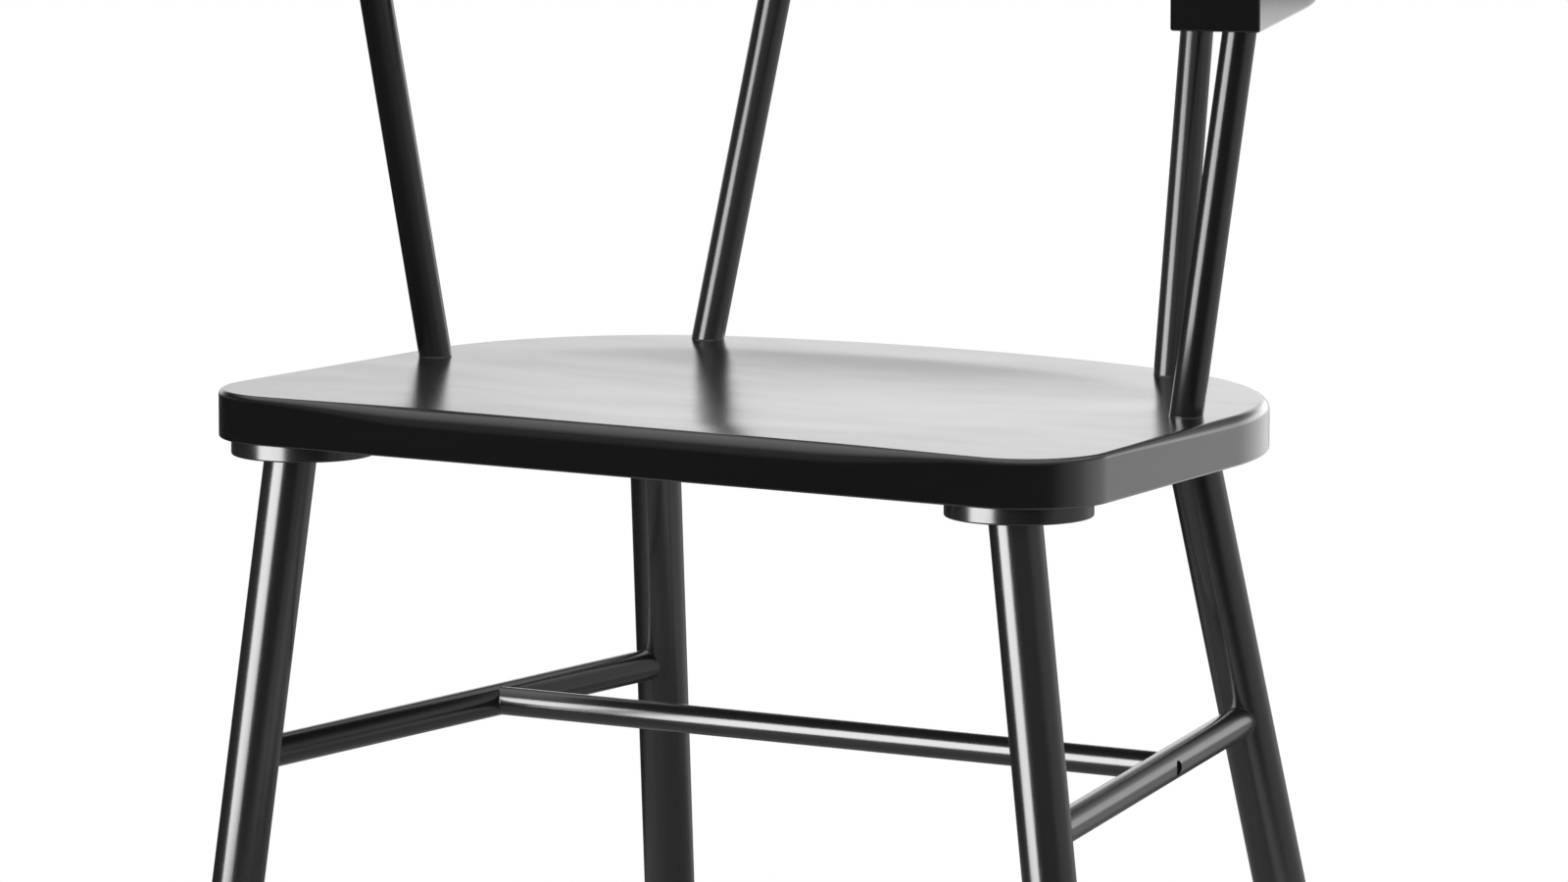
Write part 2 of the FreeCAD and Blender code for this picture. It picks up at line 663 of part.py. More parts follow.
def main():
    """Build the chair, centre it over the origin and write one file for each node."""
    os.makedirs("parts", exist_ok=True)
    pieces = chair()
    box = Part.makeCompound(list(pieces.values())).optimalBoundingBox(False)
    centring = Vector(0, -(box.YMin + box.YMax) / 2, 0)
    for name, shape in pieces.items():
        shape.translate(centring)
        shape.exportStep("parts/" + name + ".step")
    print("bow radius %.1f, joint at %.1f degrees" % (BOW_RADIUS, math.degrees(JOINT_ANGLE)))
    print("size %.1f x %.1f x %.1f, moved by %.2f" % (box.XLength, box.YLength, box.ZLength, centring.y))


main()
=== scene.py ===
"""Looks of the low-back armchair: lacquered wood, its small fittings and a plain studio.

Metres. The chair faces -Y, the sitter's left is +X and the floor is z = 0.
"""
import logging
import math
from dataclasses import dataclass, field
from enum import Enum
from typing import Protocol, Sequence

import bmesh
import bpy
from mathutils import Matrix, Vector


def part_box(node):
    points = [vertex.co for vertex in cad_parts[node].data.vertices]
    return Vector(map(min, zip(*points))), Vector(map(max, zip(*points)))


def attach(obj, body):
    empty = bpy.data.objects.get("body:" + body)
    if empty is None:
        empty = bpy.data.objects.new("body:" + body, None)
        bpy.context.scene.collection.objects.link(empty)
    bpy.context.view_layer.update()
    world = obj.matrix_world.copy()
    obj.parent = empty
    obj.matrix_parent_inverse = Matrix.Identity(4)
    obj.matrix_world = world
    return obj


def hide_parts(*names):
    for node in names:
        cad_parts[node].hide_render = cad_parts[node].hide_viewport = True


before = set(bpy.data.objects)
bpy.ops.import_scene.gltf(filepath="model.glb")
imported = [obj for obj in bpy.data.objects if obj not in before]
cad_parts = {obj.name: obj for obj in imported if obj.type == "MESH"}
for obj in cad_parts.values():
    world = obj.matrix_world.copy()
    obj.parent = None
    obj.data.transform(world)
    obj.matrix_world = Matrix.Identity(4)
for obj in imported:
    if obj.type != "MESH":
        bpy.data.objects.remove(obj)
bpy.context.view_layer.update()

LOG = logging.getLogger("armchair")
UP = Vector((0.0, 0.0, 1.0))
SIDEWAYS = Vector((1.0, 0.0, 0.0))
ROUND_STEPS = 96           # points round a turned piece
EASE_STEPS = 6             # points round an eased edge
CREASE = math.radians(38)  # edges sharper than this stay crisp
UPRIGHT = 0.999            # cosine beyond which a direction counts as upright
WELD = 1e-6                # metres within which two points are one
WATTS_FOR_LEVEL = 4.0      # watts that a square metre of lamp takes for a level of 1
SENSOR_WIDTH = 36.0        # millimetres
WHITE = (1.0, 1.0, 1.0, 1.0)

Socket = bpy.types.NodeSocket
Colour = tuple[float, float, float]
Size = tuple[float, float, float]
Ramp = tuple[tuple[float, float], tuple[float, float]]
Pairs = list[tuple[float, float]]
Ring = list[Vector]
Rings = list[Ring]
OutlinePoint = tuple[Vector, Vector]


class Hand(Enum):
    """Side of the chair, as the sitter sees it; the value is the sign of x."""

    LEFT = 1
    RIGHT = -1

    @property
    def word(self) -> str:
        """Name of the side, as the nodes spell it."""
        return self.name.lower()

    @property
    def flip(self) -> Vector:
        """Factors that turn a point of the left side into one of this side."""
        return Vector((self.value, 1.0, 1.0))


class End(Enum):
    """Front or rear of the chair."""

    FRONT = "front"
    REAR = "rear"


class Slot(Enum):
    """Material slots, whose names the finishes' materials carry."""

    LACQUER = "black_lacquer"
    BEECH = "dowel_beech"
    STEEL = "screw_steel"
    NYLON = "glide_nylon"


class Reach(Enum):
    """Which of the named pieces a light reaches, as light linking spells it."""

    ONLY = "INCLUDE"
    ALL_BUT = "EXCLUDE"


@dataclass(frozen=True)
class Corner:
    """One of the chair's four corners."""

    end: End
    hand: Hand

    def node(self, kind: str) -> str:
        """Return the name of the node of a kind at this corner."""
        return f"{self.end.value}_{self.hand.word}_{kind}"

    def axis(self, point: Vector, out: float, back: float, up: float) -> tuple[Vector, Vector]:
        """Return a rod's point and direction here, from the left one's; leans in degrees."""
        slope = Vector((math.tan(math.radians(out)), math.tan(math.radians(back)), up))
        return point * self.hand.flip, slope.normalized() * self.hand.flip


CORNERS = [Corner(end, hand) for end in End for hand in Hand]


@dataclass(frozen=True)
class Ripple:
    """Noise in a piece's own frame, whose z runs along the grain.

    The size is the length of one ripple along each axis, the detail its finer octaves.
    """

    size: Size
    detail: float


class Graph:
    """Node tree of a material or a world, filled one node at a time."""

    MIX_COLOURS = (6, 7)  # places of the Mix node's colours among its inputs
    MIX_RESULT = 2        # place of the mixed colour among its outputs

    def __init__(self, tree: bpy.types.NodeTree) -> None:
        """Start from an empty tree."""
        self.tree = tree
        self.tree.nodes.clear()

    def give(self, entry: Socket, value: object) -> None:
        """Link a socket to an input, or set the input's value.

        Args:
            entry: The input.
            value: Socket or plain value.
        """
        if isinstance(value, Socket):
            self.tree.links.new(value, entry)
        else:
            entry.default_value = value

    def node(self, kind: str, *first: object, **named: object) -> bpy.types.Node:
        """Add a node.

        Args:
            kind: Node type without the ShaderNode prefix.
            first: Values or sockets for its first inputs, in order.
            named: Settings of the node, or values and sockets for its inputs; underscores
                in an input's name stand for spaces.

        Returns:
            The new node.
        """
        made = self.tree.nodes.new("ShaderNode" + kind)
        for name, value in named.items():
            if hasattr(made, name):
                setattr(made, name, value)
            else:
                self.give(made.inputs[name.replace("_", " ")], value)
        for entry, value in zip(made.inputs, first):
            self.give(entry, value)
        return made

    def math(self, operation: str, first: object, second: object) -> Socket:
        """Join two values or sockets by the Math node's operation, and return the result."""
        return self.node("Math", first, second, operation=operation).outputs[0]

    def ramp(self, value: Socket, ends: Ramp) -> Socket:
        """Map a value smoothly from one range to another.

        Args:
            value: Socket to map.
            ends: Values at both ends of the range, each with what it becomes.

        Returns:
            The mapped value's socket.
        """
        (low, low_becomes), (high, high_becomes) = ends
        made = self.node("MapRange", interpolation_type="SMOOTHSTEP", Value=value, From_Min=low,
                         From_Max=high, To_Min=low_becomes, To_Max=high_becomes)
        return made.outputs["Result"]

    def noise(self, ripple: Ripple) -> Socket:
        """Add noise in the piece's own frame.

        Args:
            ripple: Size and detail of the noise.

        Returns:
            The noise's socket, from 0 to 1.
        """
        place = self.node("TexCoord").outputs["Object"]
        scaled = self.node("Mapping", Vector=place, Scale=[1.0 / length for length in ripple.size])
        texture = self.node("TexNoise", Vector=scaled.outputs["Vector"], Scale=1.0,
                            Detail=ripple.detail)
        return texture.outputs["Fac"]

    def bump(self, height: Socket, depth: float, under: Socket | None = None) -> Socket:
        """Relief of a given depth, on top of another relief where one is given.

        Args:
            height: Socket from 0 to 1.
            depth: Depth of the relief in metres.
            under: Normal to add the relief to.

        Returns:
            The normal's socket.
        """
        made = self.node("Bump", Height=height, Distance=depth, Strength=1.0)
        if under is not None:
            self.give(made.inputs["Normal"], under)
        return made.outputs["Normal"]

    def blend(self, factor: Socket, first: Colour, second: Colour) -> Socket:
        """Mix two colours by a factor.

        Args:
            factor: Socket from 0 to 1.
            first: Colour at 0.
            second: Colour at 1.

        Returns:
            The colour's socket.
        """
        made = self.node("Mix", factor, data_type="RGBA")
        for place, colour in zip(self.MIX_COLOURS, (first, second)):
            made.inputs[place].default_value = (*colour, 1.0)
        return made.outputs[self.MIX_RESULT]


def new_material(name: str) -> tuple[bpy.types.Material, Graph]:
    """Make a material.

    Args:
        name: Name of the material.

    Returns:
        The material and its empty node tree.
    """
    material = bpy.data.materials.new(name)
    material.use_nodes = True
    return material, Graph(material.node_tree)


@dataclass(frozen=True)
class Finish:
    """A finish that pieces share; one material is made for each."""

    slot: Slot

    def material(self) -> bpy.types.Material:
        """Make the finish's material at the first call, and find it again later.

        Returns:
            The material.
        """
        name = self.slot.value + "_finish"
        found = bpy.data.materials.get(name)
        if found is None:
            found, graph = new_material(name)
            graph.node("OutputMaterial", Surface=self.surface(graph).outputs[0])
        return found

    def surface(self, graph: Graph) -> bpy.types.Node:
        """Add the finish's shader to a node tree."""
        raise NotImplementedError


@dataclass(frozen=True)
class BlackLacquer(Finish):
    """Semi-gloss black lacquer sprayed over close-grained wood."""

    slot: Slot = Slot.LACQUER
    thick: Colour = (0.0052, 0.0052, 0.0053)
    thin: Colour = (0.0080, 0.0077, 0.0075)
    gloss: Ramp = ((0.3, 0.18), (0.7, 0.24))
    index: float = 1.5
    coat_index: float = 1.56
    coat_roughness: float = 0.22
    grain: Ripple = Ripple((0.004, 0.004, 0.11), 5.0)
    grain_depth: float = 0.000012
    pores: Ripple = Ripple((0.0007, 0.0007, 0.016), 1.0)
    pore_share: Ramp = ((0.56, 1.0), (0.68, 0.0))
    pore_depth: float = 0.000008
    peel: Ripple = Ripple((0.0021, 0.0021, 0.0021), 1.0)
    peel_depth: float = 0.0000035
    cloud: Ripple = Ripple((0.05, 0.05, 0.14), 3.0)

    def surface(self, graph: Graph) -> bpy.types.Node:
        """Add the lacquer: the grain shows faintly through it, under a glossier skin.

        Args:
            graph: Node tree to fill.

        Returns:
            The shader node.
        """
        grain = graph.noise(self.grain)
        pores = graph.ramp(graph.noise(self.pores), self.pore_share)
        wood = graph.bump(pores, self.pore_depth, graph.bump(grain, self.grain_depth))
        skin_relief = graph.bump(graph.noise(self.peel), self.peel_depth)
        return graph.node("BsdfPrincipled", Base_Color=graph.blend(grain, self.thick, self.thin),
                          Roughness=graph.ramp(graph.noise(self.cloud), self.gloss),
                          IOR=self.index, Normal=wood, Coat_Weight=1.0, Coat_IOR=self.coat_index,
                          Coat_Roughness=self.coat_roughness, Coat_Normal=skin_relief)


@dataclass(frozen=True)
class MarkedFinish(Finish):
    """A plain ground with marks, which set its gloss and, without other relief, its relief too."""

    ground: Colour
    marked: Colour
    marks: Ripple
    mark_share: Ramp
    relief_depth: float
    gloss: Ramp
    relief: Ripple | None = None
    metal: float = 0.0

    def surface(self, graph: Graph) -> bpy.types.Node:
        """Add the ground and its marks.

        Args:
            graph: Node tree to fill.

        Returns:
            The shader node.
        """
        marks = graph.ramp(graph.noise(self.marks), self.mark_share)
        height = marks if self.relief is None else graph.noise(self.relief)
        return graph.node("BsdfPrincipled", Base_Color=graph.blend(marks, self.ground, self.marked),
                          Roughness=graph.ramp(marks, self.gloss), Metallic=self.metal,
                          Normal=graph.bump(height, self.relief_depth))


@dataclass(frozen=True)
class BareBeech(MarkedFinish):
    """Unfinished beech of the dowels inside the joints, with its short dark flecks."""

    slot: Slot = Slot.BEECH
    ground: Colour = (0.62, 0.46, 0.30)
    marked: Colour = (0.44, 0.29, 0.17)
    marks: Ripple = Ripple((0.001, 0.004, 0.001), 3.0)
    mark_share: Ramp = ((0.5, 0.0), (0.7, 1.0))
    relief_depth: float = 0.00003
    gloss: Ramp = ((0.0, 0.6), (1.0, 0.6))


@dataclass(frozen=True)
class BlackZinc(MarkedFinish):
    """Black-zinc steel of the screws, rubbed paler in patches."""

    slot: Slot = Slot.STEEL
    ground: Colour = (0.045, 0.045, 0.05)
    marked: Colour = (0.16, 0.16, 0.17)
    marks: Ripple = Ripple((0.0015, 0.0015, 0.0015), 4.0)
    mark_share: Ramp = ((0.45, 0.0), (0.75, 1.0))
    relief_depth: float = 0.00002
    gloss: Ramp = ((0.0, 0.42), (1.0, 0.28))
    metal: float = 1.0


@dataclass(frozen=True)
class MouldedNylon(MarkedFinish):
    """Dark moulded nylon of the glides, with scuffs and a fine moulding texture."""

    slot: Slot = Slot.NYLON
    ground: Colour = (0.035, 0.035, 0.036)
    marked: Colour = (0.10, 0.098, 0.095)
    marks: Ripple = Ripple((0.003, 0.0012, 0.003), 4.0)
    mark_share: Ramp = ((0.5, 0.0), (0.8, 1.0))
    relief_depth: float = 0.00002
    gloss: Ramp = ((0.0, 0.5), (1.0, 0.5))
    relief: Ripple | None = Ripple((0.0004, 0.0004, 0.0004), 1.0)


LACQUER = BlackLacquer()
BEECH = BareBeech()
ZINC = BlackZinc()
NYLON = MouldedNylon()


def frame_along(origin: Vector, along: Vector) -> Matrix:
    """Make a frame whose local z runs along a direction, which is the way of the grain.

    Args:
        origin: Place of the frame.
        along: Direction of local z.

    Returns:
        The frame as a matrix.
    """
    z = along.normalized()
    x = (UP.cross(z) if abs(z.z) < UPRIGHT else SIDEWAYS).normalized()
    matrix = Matrix((x, z.cross(x), z)).transposed().to_4x4()
    matrix.translation = origin
    return matrix


def clamped(share: float) -> float:
    """Return a share held between 0 and 1."""
    return min(max(share, 0.0), 1.0)


def smooth(share: float) -> float:
    """Return a share between 0 and 1, eased at both ends."""
    return share * share * (3 - 2 * share)


def quarter(steps: int) -> list[float]:
    """Return the angles of a quarter turn in even steps, both ends included."""
    return [math.pi / 2 * i / steps for i in range(steps + 1)]


def eased(radius: float, steps: int = EASE_STEPS) -> Pairs:
    """Return the points round an edge, as depths below its first face and below its second."""
    turns = quarter(steps)
    return [(radius * (1 - math.cos(turn)), radius * (1 - math.sin(turn))) for turn in turns]


def middle_of(low: Vector, high: Vector, z: float) -> Vector:
    """Return the middle of a box in plan, at a height."""
    return Vector(((low.x + high.x) / 2, (low.y + high.y) / 2, z))


def circle(local: Matrix, radius: float, height: float) -> Ring:
    """Draw a circle round a local z axis.

    Args:
        local: Frame of the circle.
        radius: Radius of the circle.
        height: Distance of the circle along the axis.

    Returns:
        Points round the circle.
    """
    turn = 2 * math.pi / ROUND_STEPS
    return [local @ Vector((radius * math.cos(turn * i), radius * math.sin(turn * i), height))
            for i in range(ROUND_STEPS)]


def arc(centre: Vector, radius: float, first: float, last: float, steps: int) -> list[OutlinePoint]:
    """Draw an arc in plan.

    Args:
        centre: Centre of the arc.
        radius: Radius of the arc.
        first: Angle of its first point.
        last: Angle of its last point.
        steps: Number of steps between them.

    Returns:
        Points of the plan with their outward normals.
    """
    points = []
    for i in range(steps + 1):
        angle = first + (last - first) * i / steps
        normal = Vector((math.cos(angle), math.sin(angle)))
        points.append((centre + normal * radius, normal))
    return points


def mesh_of(shape: bmesh.types.BMesh, name: str) -> bpy.types.Mesh:
    """Make a mesh of a finished shape, and let go of the shape.

    Args:
        shape: What was drawn.
        name: Name of the mesh.

    Returns:
        The mesh.
    """
    mesh = bpy.data.meshes.new(name)
    shape.to_mesh(mesh)
    shape.free()
    return mesh


def in_scene(name: str, data: bpy.types.ID) -> bpy.types.Object:
    """Put a mesh, a lamp or a camera into the scene.

    Args:
        name: Name of its object.
        data: The mesh, lamp or camera.

    Returns:
        The object.
    """
    made = bpy.data.objects.new(name, data)
    bpy.context.scene.collection.objects.link(made)
    return made


def skin(name: str, stacks: Sequence[Rings], local: Matrix) -> bpy.types.Mesh:
    """Make closed surfaces through stacks of rings.

    Args:
        name: Name of the mesh.
        stacks: For each closed surface, its rings in order; those of one stack have the same
            number of points.
        local: Frame of the mesh; the rings are given in the chair's frame.

    Returns:
        The mesh, capped at both ends of each stack.
    """
    to_local = local.inverted()
    shape = bmesh.new()
    for rings in stacks:
        rows = [[shape.verts.new(to_local @ p) for p in ring] for ring in rings]
        for low, high in zip(rows, rows[1:]):
            for i in range(len(low)):
                shape.faces.new((low[i - 1], low[i], high[i], high[i - 1]))
        for row in (rows[0], rows[-1]):
            middle = shape.verts.new(sum((v.co for v in row), Vector()) / len(row))
            for i in range(len(row)):
                shape.faces.new((row[i - 1], row[i], middle))
    bmesh.ops.recalc_face_normals(shape, faces=shape.faces)
    return mesh_of(shape, name)


def bored(mesh: bpy.types.Mesh, drill: bpy.types.Mesh) -> bpy.types.Mesh:
    """Cut one mesh out of another that has the same frame.

    Args:
        mesh: Mesh to bore.
        drill: Closed mesh of what is taken out.

    Returns:
        A new mesh with the hole.
    """
    piece, tool = in_scene("bored", mesh), in_scene("drill", drill)
    cut = piece.modifiers.new("bore", "BOOLEAN")
    cut.object = tool
    cut.operation = "DIFFERENCE"
    cut.solver = "EXACT"
    depsgraph = bpy.context.evaluated_depsgraph_get()
    made = bpy.data.meshes.new_from_object(piece.evaluated_get(depsgraph))
    made.name = mesh.name
    for thing in (piece, tool):
        bpy.data.objects.remove(thing)
    return made


@dataclass
class Assembly:
    """Pieces that are built and dressed together."""

    pieces: list[tuple[bpy.types.Object, Finish]] = field(
        default_factory=list, init=False, repr=False)

    def build(self) -> None:
        """Build the pieces' meshes."""
        raise NotImplementedError

    def add(self, node: str, stacks: Sequence[Rings], local: Matrix, finish: Finish,
            drills: Sequence[Rings] = ()) -> None:
        """Build a piece and put it in place of its CAD node.

        Args:
            node: Name of the node that it stands for.
            stacks: Rings of each of its closed surfaces.
            local: The piece's frame.
            finish: What the piece is to be dressed in.
            drills: Rings of what is bored out of it.
        """
        mesh = skin(node, stacks, local)
        if drills:
            mesh = bored(mesh, skin("drill", drills, local))
        mesh.shade_smooth()
        mesh.set_sharp_from_angle(angle=CREASE)
        piece = in_scene(node + ".look", mesh)
        piece.matrix_world = local
        even = piece.modifiers.new("even_normals", "WEIGHTED_NORMAL")
        even.keep_sharp = True
        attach(piece, "root")
        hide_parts(node)
        self.pieces.append((piece, finish))

    def keep(self, node: str, finish: Finish) -> None:
        """Keep a CAD node as it is, to be dressed in a finish."""
        self.pieces.append((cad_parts[node], finish))

    def dress(self) -> None:
        """Give each piece its finish."""
        for piece, finish in self.pieces:
            piece.data.materials.clear()
            piece.data.materials.append(finish.material())


class Face(Protocol):
    """Surface that a rod meets or is cut by."""

    def distance(self, start: Vector, along: Vector) -> float:
        """Return the distance from a point along a direction to the surface."""


@dataclass(frozen=True)
class SquareFace:
    """Plane square to the rod, at a distance from its start."""

    at: float

    def distance(self, start: Vector, along: Vector) -> float:
        """Return the plane's distance, which is the same all round."""
        return self.at


@dataclass(frozen=True)
class LevelFace:
    """Level plane at a height."""

    height: float

    def distance(self, start: Vector, along: Vector) -> float:
        """Return the distance along the direction to the plane."""
        return (self.height - start.z) / along.z


@dataclass(frozen=True)
class RoundFace:
    """Near or far side of another rod."""

    axis_point: Vector
    axis: Vector
    radius: float
    far: bool = False

    def distance(self, start: Vector, along: Vector) -> float:
        """Measure along a direction to the other rod's surface.

        Args:
            start: Point to measure from.
            along: Direction to measure in.

        Returns:
            The distance.
        """
        axis = self.axis.normalized()
        flat_along = along - axis * along.dot(axis)
        offset = start - self.axis_point
        flat_offset = offset - axis * offset.dot(axis)
        a = flat_along.length_squared
        b = flat_along.dot(flat_offset)
        c = flat_offset.length_squared - self.radius ** 2
        root = math.sqrt(max(b * b - a * c, 0.0))
        return (-b + root if self.far else -b - root) / a


@dataclass(frozen=True)
class Rod:
    """Turned round rod with eased ends, and a bead of lacquer where it enters another piece."""

    start: Vector
    end: Vector
    radius: float
    bead: float = 0.0003
    bead_length: float = 0.0006
    end_ease: float = 0.0015

    @property
    def local(self) -> Matrix:
        """Frame at the rod's start, with z along it."""
        return frame_along(self.start, self.end - self.start)

    @property
    def along(self) -> Vector:
        """Unit vector from start to end."""
        return (self.end - self.start).normalized()

    def ring(self, face: Face, offset: float = 0.0, swell: float = 0.0) -> Ring:
        """Return the rod's outline where it meets a face, moved on along the rod and swollen."""
        points = circle(self.local, self.radius + swell, 0.0)
        return [p + self.along * (face.distance(p, self.along) + offset) for p in points]

    def beaded(self, face: Face, way: int) -> Rings:
        """Draw the bead where the rod leaves a face.

        Args:
            face: Face of the piece that the rod stands in.
            way: 1 where the rod runs on past the face, -1 where it ends there.

        Returns:
            Rings in order from the rod's start.
        """
        rings = [self.ring(face, -way * self.bead)]
        for out, up in eased(1.0):
            rings.append(self.ring(face, way * self.bead_length * out, self.bead * up))
        return rings[::way]

    def between(self, first: Face, last: Face, sunk: float) -> Rings:
        """Return the rings of a rod that is sunk into two pieces, and beaded at their faces."""
        start = [self.ring(first, -sunk)] + self.beaded(first, 1)
        return start + self.beaded(last, -1) + [self.ring(last, sunk)]

    def eased_end(self, face: Face) -> Rings:
        """Return the rings of the rod's end, cut to a face and eased."""
        return [self.ring(face, -short, -inward) for inward, short in eased(self.end_ease)]


def solid_boxes(node: str) -> list[tuple[Vector, Vector]]:
    """Find the boxes of a CAD node's separate solids.

    Args:
        node: Name of the node.

    Returns:
        The lowest and highest corner of each solid.
    """
    mesh = bmesh.new()
    mesh.from_mesh(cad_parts[node].data)
    bmesh.ops.remove_doubles(mesh, verts=mesh.verts, dist=WELD)
    left = set(mesh.verts)
    boxes = []
    while left:
        group = [left.pop()]
        for vert in group:
            for edge in vert.link_edges:
                other = edge.other_vert(vert)
                if other in left:
                    left.remove(other)
                    group.append(other)
        low = Vector(min(v.co[i] for v in group) for i in range(3))
        high = Vector(max(v.co[i] for v in group) for i in range(3))
        boxes.append((low, high))
    mesh.free()
    return sorted(boxes, key=lambda box: tuple(box[0]))


@dataclass(frozen=True)
class Screw:
    """Countersunk screw with a cross in its head; the cross is sized in shares of the head."""

    head_centre: Vector
    way: Vector
    length: float
    shank: float
    head: float
    cross_reach: float = 0.32
    cross_half: float = 0.08
    cross_wall: float = 0.0325
    cross_run_out: float = 0.08
    cross_depth: float = 0.22
    face_share: float = 0.97
    face_rings: int = 22
    rim: float = 0.0002
    point_share: float = 0.2
    hole_gap: float = 0.00015
    hole_under: float = 0.0015
    hole_over: float = 0.009

    def recess(self, x: float, y: float) -> float:
        """Measure the driver's cross at a point of the head.

        Args:
            x: Distance from the middle along one arm of the cross.
            y: Distance from the middle along the other arm.

        Returns:
            The depth of the cross there.
        """
        long_way, short_way = max(abs(x), abs(y)) / self.head, min(abs(x), abs(y)) / self.head
        across = clamped((self.cross_half - short_way) / self.cross_wall)
        along = clamped((self.cross_reach - long_way) / self.cross_run_out)
        return self.cross_depth * self.head * across * along

    def rings(self) -> Rings:
        """Draw the screw from the middle of its head to its point.

        Returns:
            Rings in order.
        """
        local = frame_along(self.head_centre, self.way)
        back = local.inverted()
        rings = []
        for i in range(1, self.face_rings + 1):
            radius = self.head / 2 * self.face_share * i / self.face_rings
            flat = circle(local, radius, 0.0)
            rings.append([p + self.way * self.recess(*(back @ p).xy) for p in flat])
        taper = (self.head - self.shank) / 2
        profile = ((self.head / 2, self.rim), (self.shank / 2, taper),
                   (self.shank / 2, self.length - self.shank),
                   (self.shank * self.point_share, self.length))
        rings.extend(circle(local, radius, height) for radius, height in profile)
        return rings

    def mouth(self) -> Rings:
        """Draw the drill for the hole that the head is sunk in.

        Returns:
            Rings in order, from under the head's rim to outside the bored piece.
        """
        outside = frame_along(self.head_centre, -self.way)
        return [circle(outside, self.head / 2 + self.hole_gap, height)
                for height in (-self.hole_under, 0.0, self.hole_over)]


def screws_upward(node: str, shank: float, head: float) -> list[Screw]:
    """Return the upright screws that go in from below, in the places of a CAD node's solids."""
    return [Screw(middle_of(low, high, low.z), UP, high.z - low.z, shank, head)
            for low, high in solid_boxes(node)]


@dataclass
class SeatPlan:
    """Outline of the seat, measured from its front edge."""

    width: float = 0.5615
    depth: float = 0.384
    taper: float = math.radians(3.25)
    front_corner: float = 0.048
    rear_corner: float = 0.172
    back_radius: float = 0.575
    front_steps: int = 40
    front_corner_steps: int = 36
    side_steps: int = 10
    rear_corner_steps: int = 48
    back_steps: int = 24
    closest: float = 0.0005
    front_y: float = field(default_factory=lambda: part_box("seat_board")[0].y)

    def side_x(self, y: float) -> float:
        """Return half the width on the straight tapered side."""
        return self.width / 2 - y * math.tan(self.taper)

    def back_y(self, x: float) -> float:
        """Return the back edge's distance from the front edge."""
        return self.depth - self.back_radius + math.sqrt(self.back_radius ** 2 - x ** 2)

    def place(self, x: float, y: float, z: float) -> Vector:
        """Return a point of the plan in the chair's frame."""
        return Vector((x, self.front_y + y, z))

    def rear_centre(self) -> Vector:
        """Find the centre of the rear corner's arc, tangent to the side and the back.

        Returns:
            A point of the plan.
        """
        side = Vector((math.cos(self.taper), math.sin(self.taper)))
        along = Vector((-side.y, side.x))
        start = Vector((self.width / 2, 0.0)) - side * self.rear_corner
        from_back = start - Vector((0.0, self.depth - self.back_radius))
        half = from_back.dot(along)
        reach = self.back_radius - self.rear_corner
        return start + along * (math.sqrt(half ** 2 - from_back.length_squared + reach ** 2) - half)

    def left_half(self) -> list[OutlinePoint]:
        """Draw the left half of the outline, from front to back.

        Returns:
            Points of the plan with their outward normals.
        """
        sine, cosine = math.sin(self.taper), math.cos(self.taper)
        front_x = self.width / 2 - self.front_corner * (1 + sine) / cosine
        rear = self.rear_centre()
        back = Vector((0.0, self.depth - self.back_radius))
        meeting = math.atan2(rear.y - back.y, rear.x)
        front = [(Vector((front_x * i / self.front_steps, 0.0)), Vector((0.0, -1.0)))
                 for i in range(self.front_steps)]
        front += arc(Vector((front_x, self.front_corner)), self.front_corner, -math.pi / 2,
                     self.taper, self.front_corner_steps)
        round_back = arc(rear, self.rear_corner, self.taper, meeting, self.rear_corner_steps)
        round_back += arc(back, self.back_radius, meeting, math.pi / 2, self.back_steps)
        start, normal = front[-1]
        stop = round_back[0][0]
        side = [(start.lerp(stop, i / self.side_steps), normal) for i in range(1, self.side_steps)]
        return front + side + round_back

    def outline(self) -> list[OutlinePoint]:
        """Draw the whole outline, without points that nearly fall together.

        Returns:
            Points of the plan with their outward normals.
        """
        left = self.left_half()
        flip = Vector((-1.0, 1.0))
        right = [(point * flip, normal * flip) for point, normal in reversed(left[1:-1])]
        thinned = [left[0]]
        for point, normal in left[1:] + right:
            if (point - thinned[-1][0]).length > self.closest:
                thinned.append((point, normal))
        return thinned


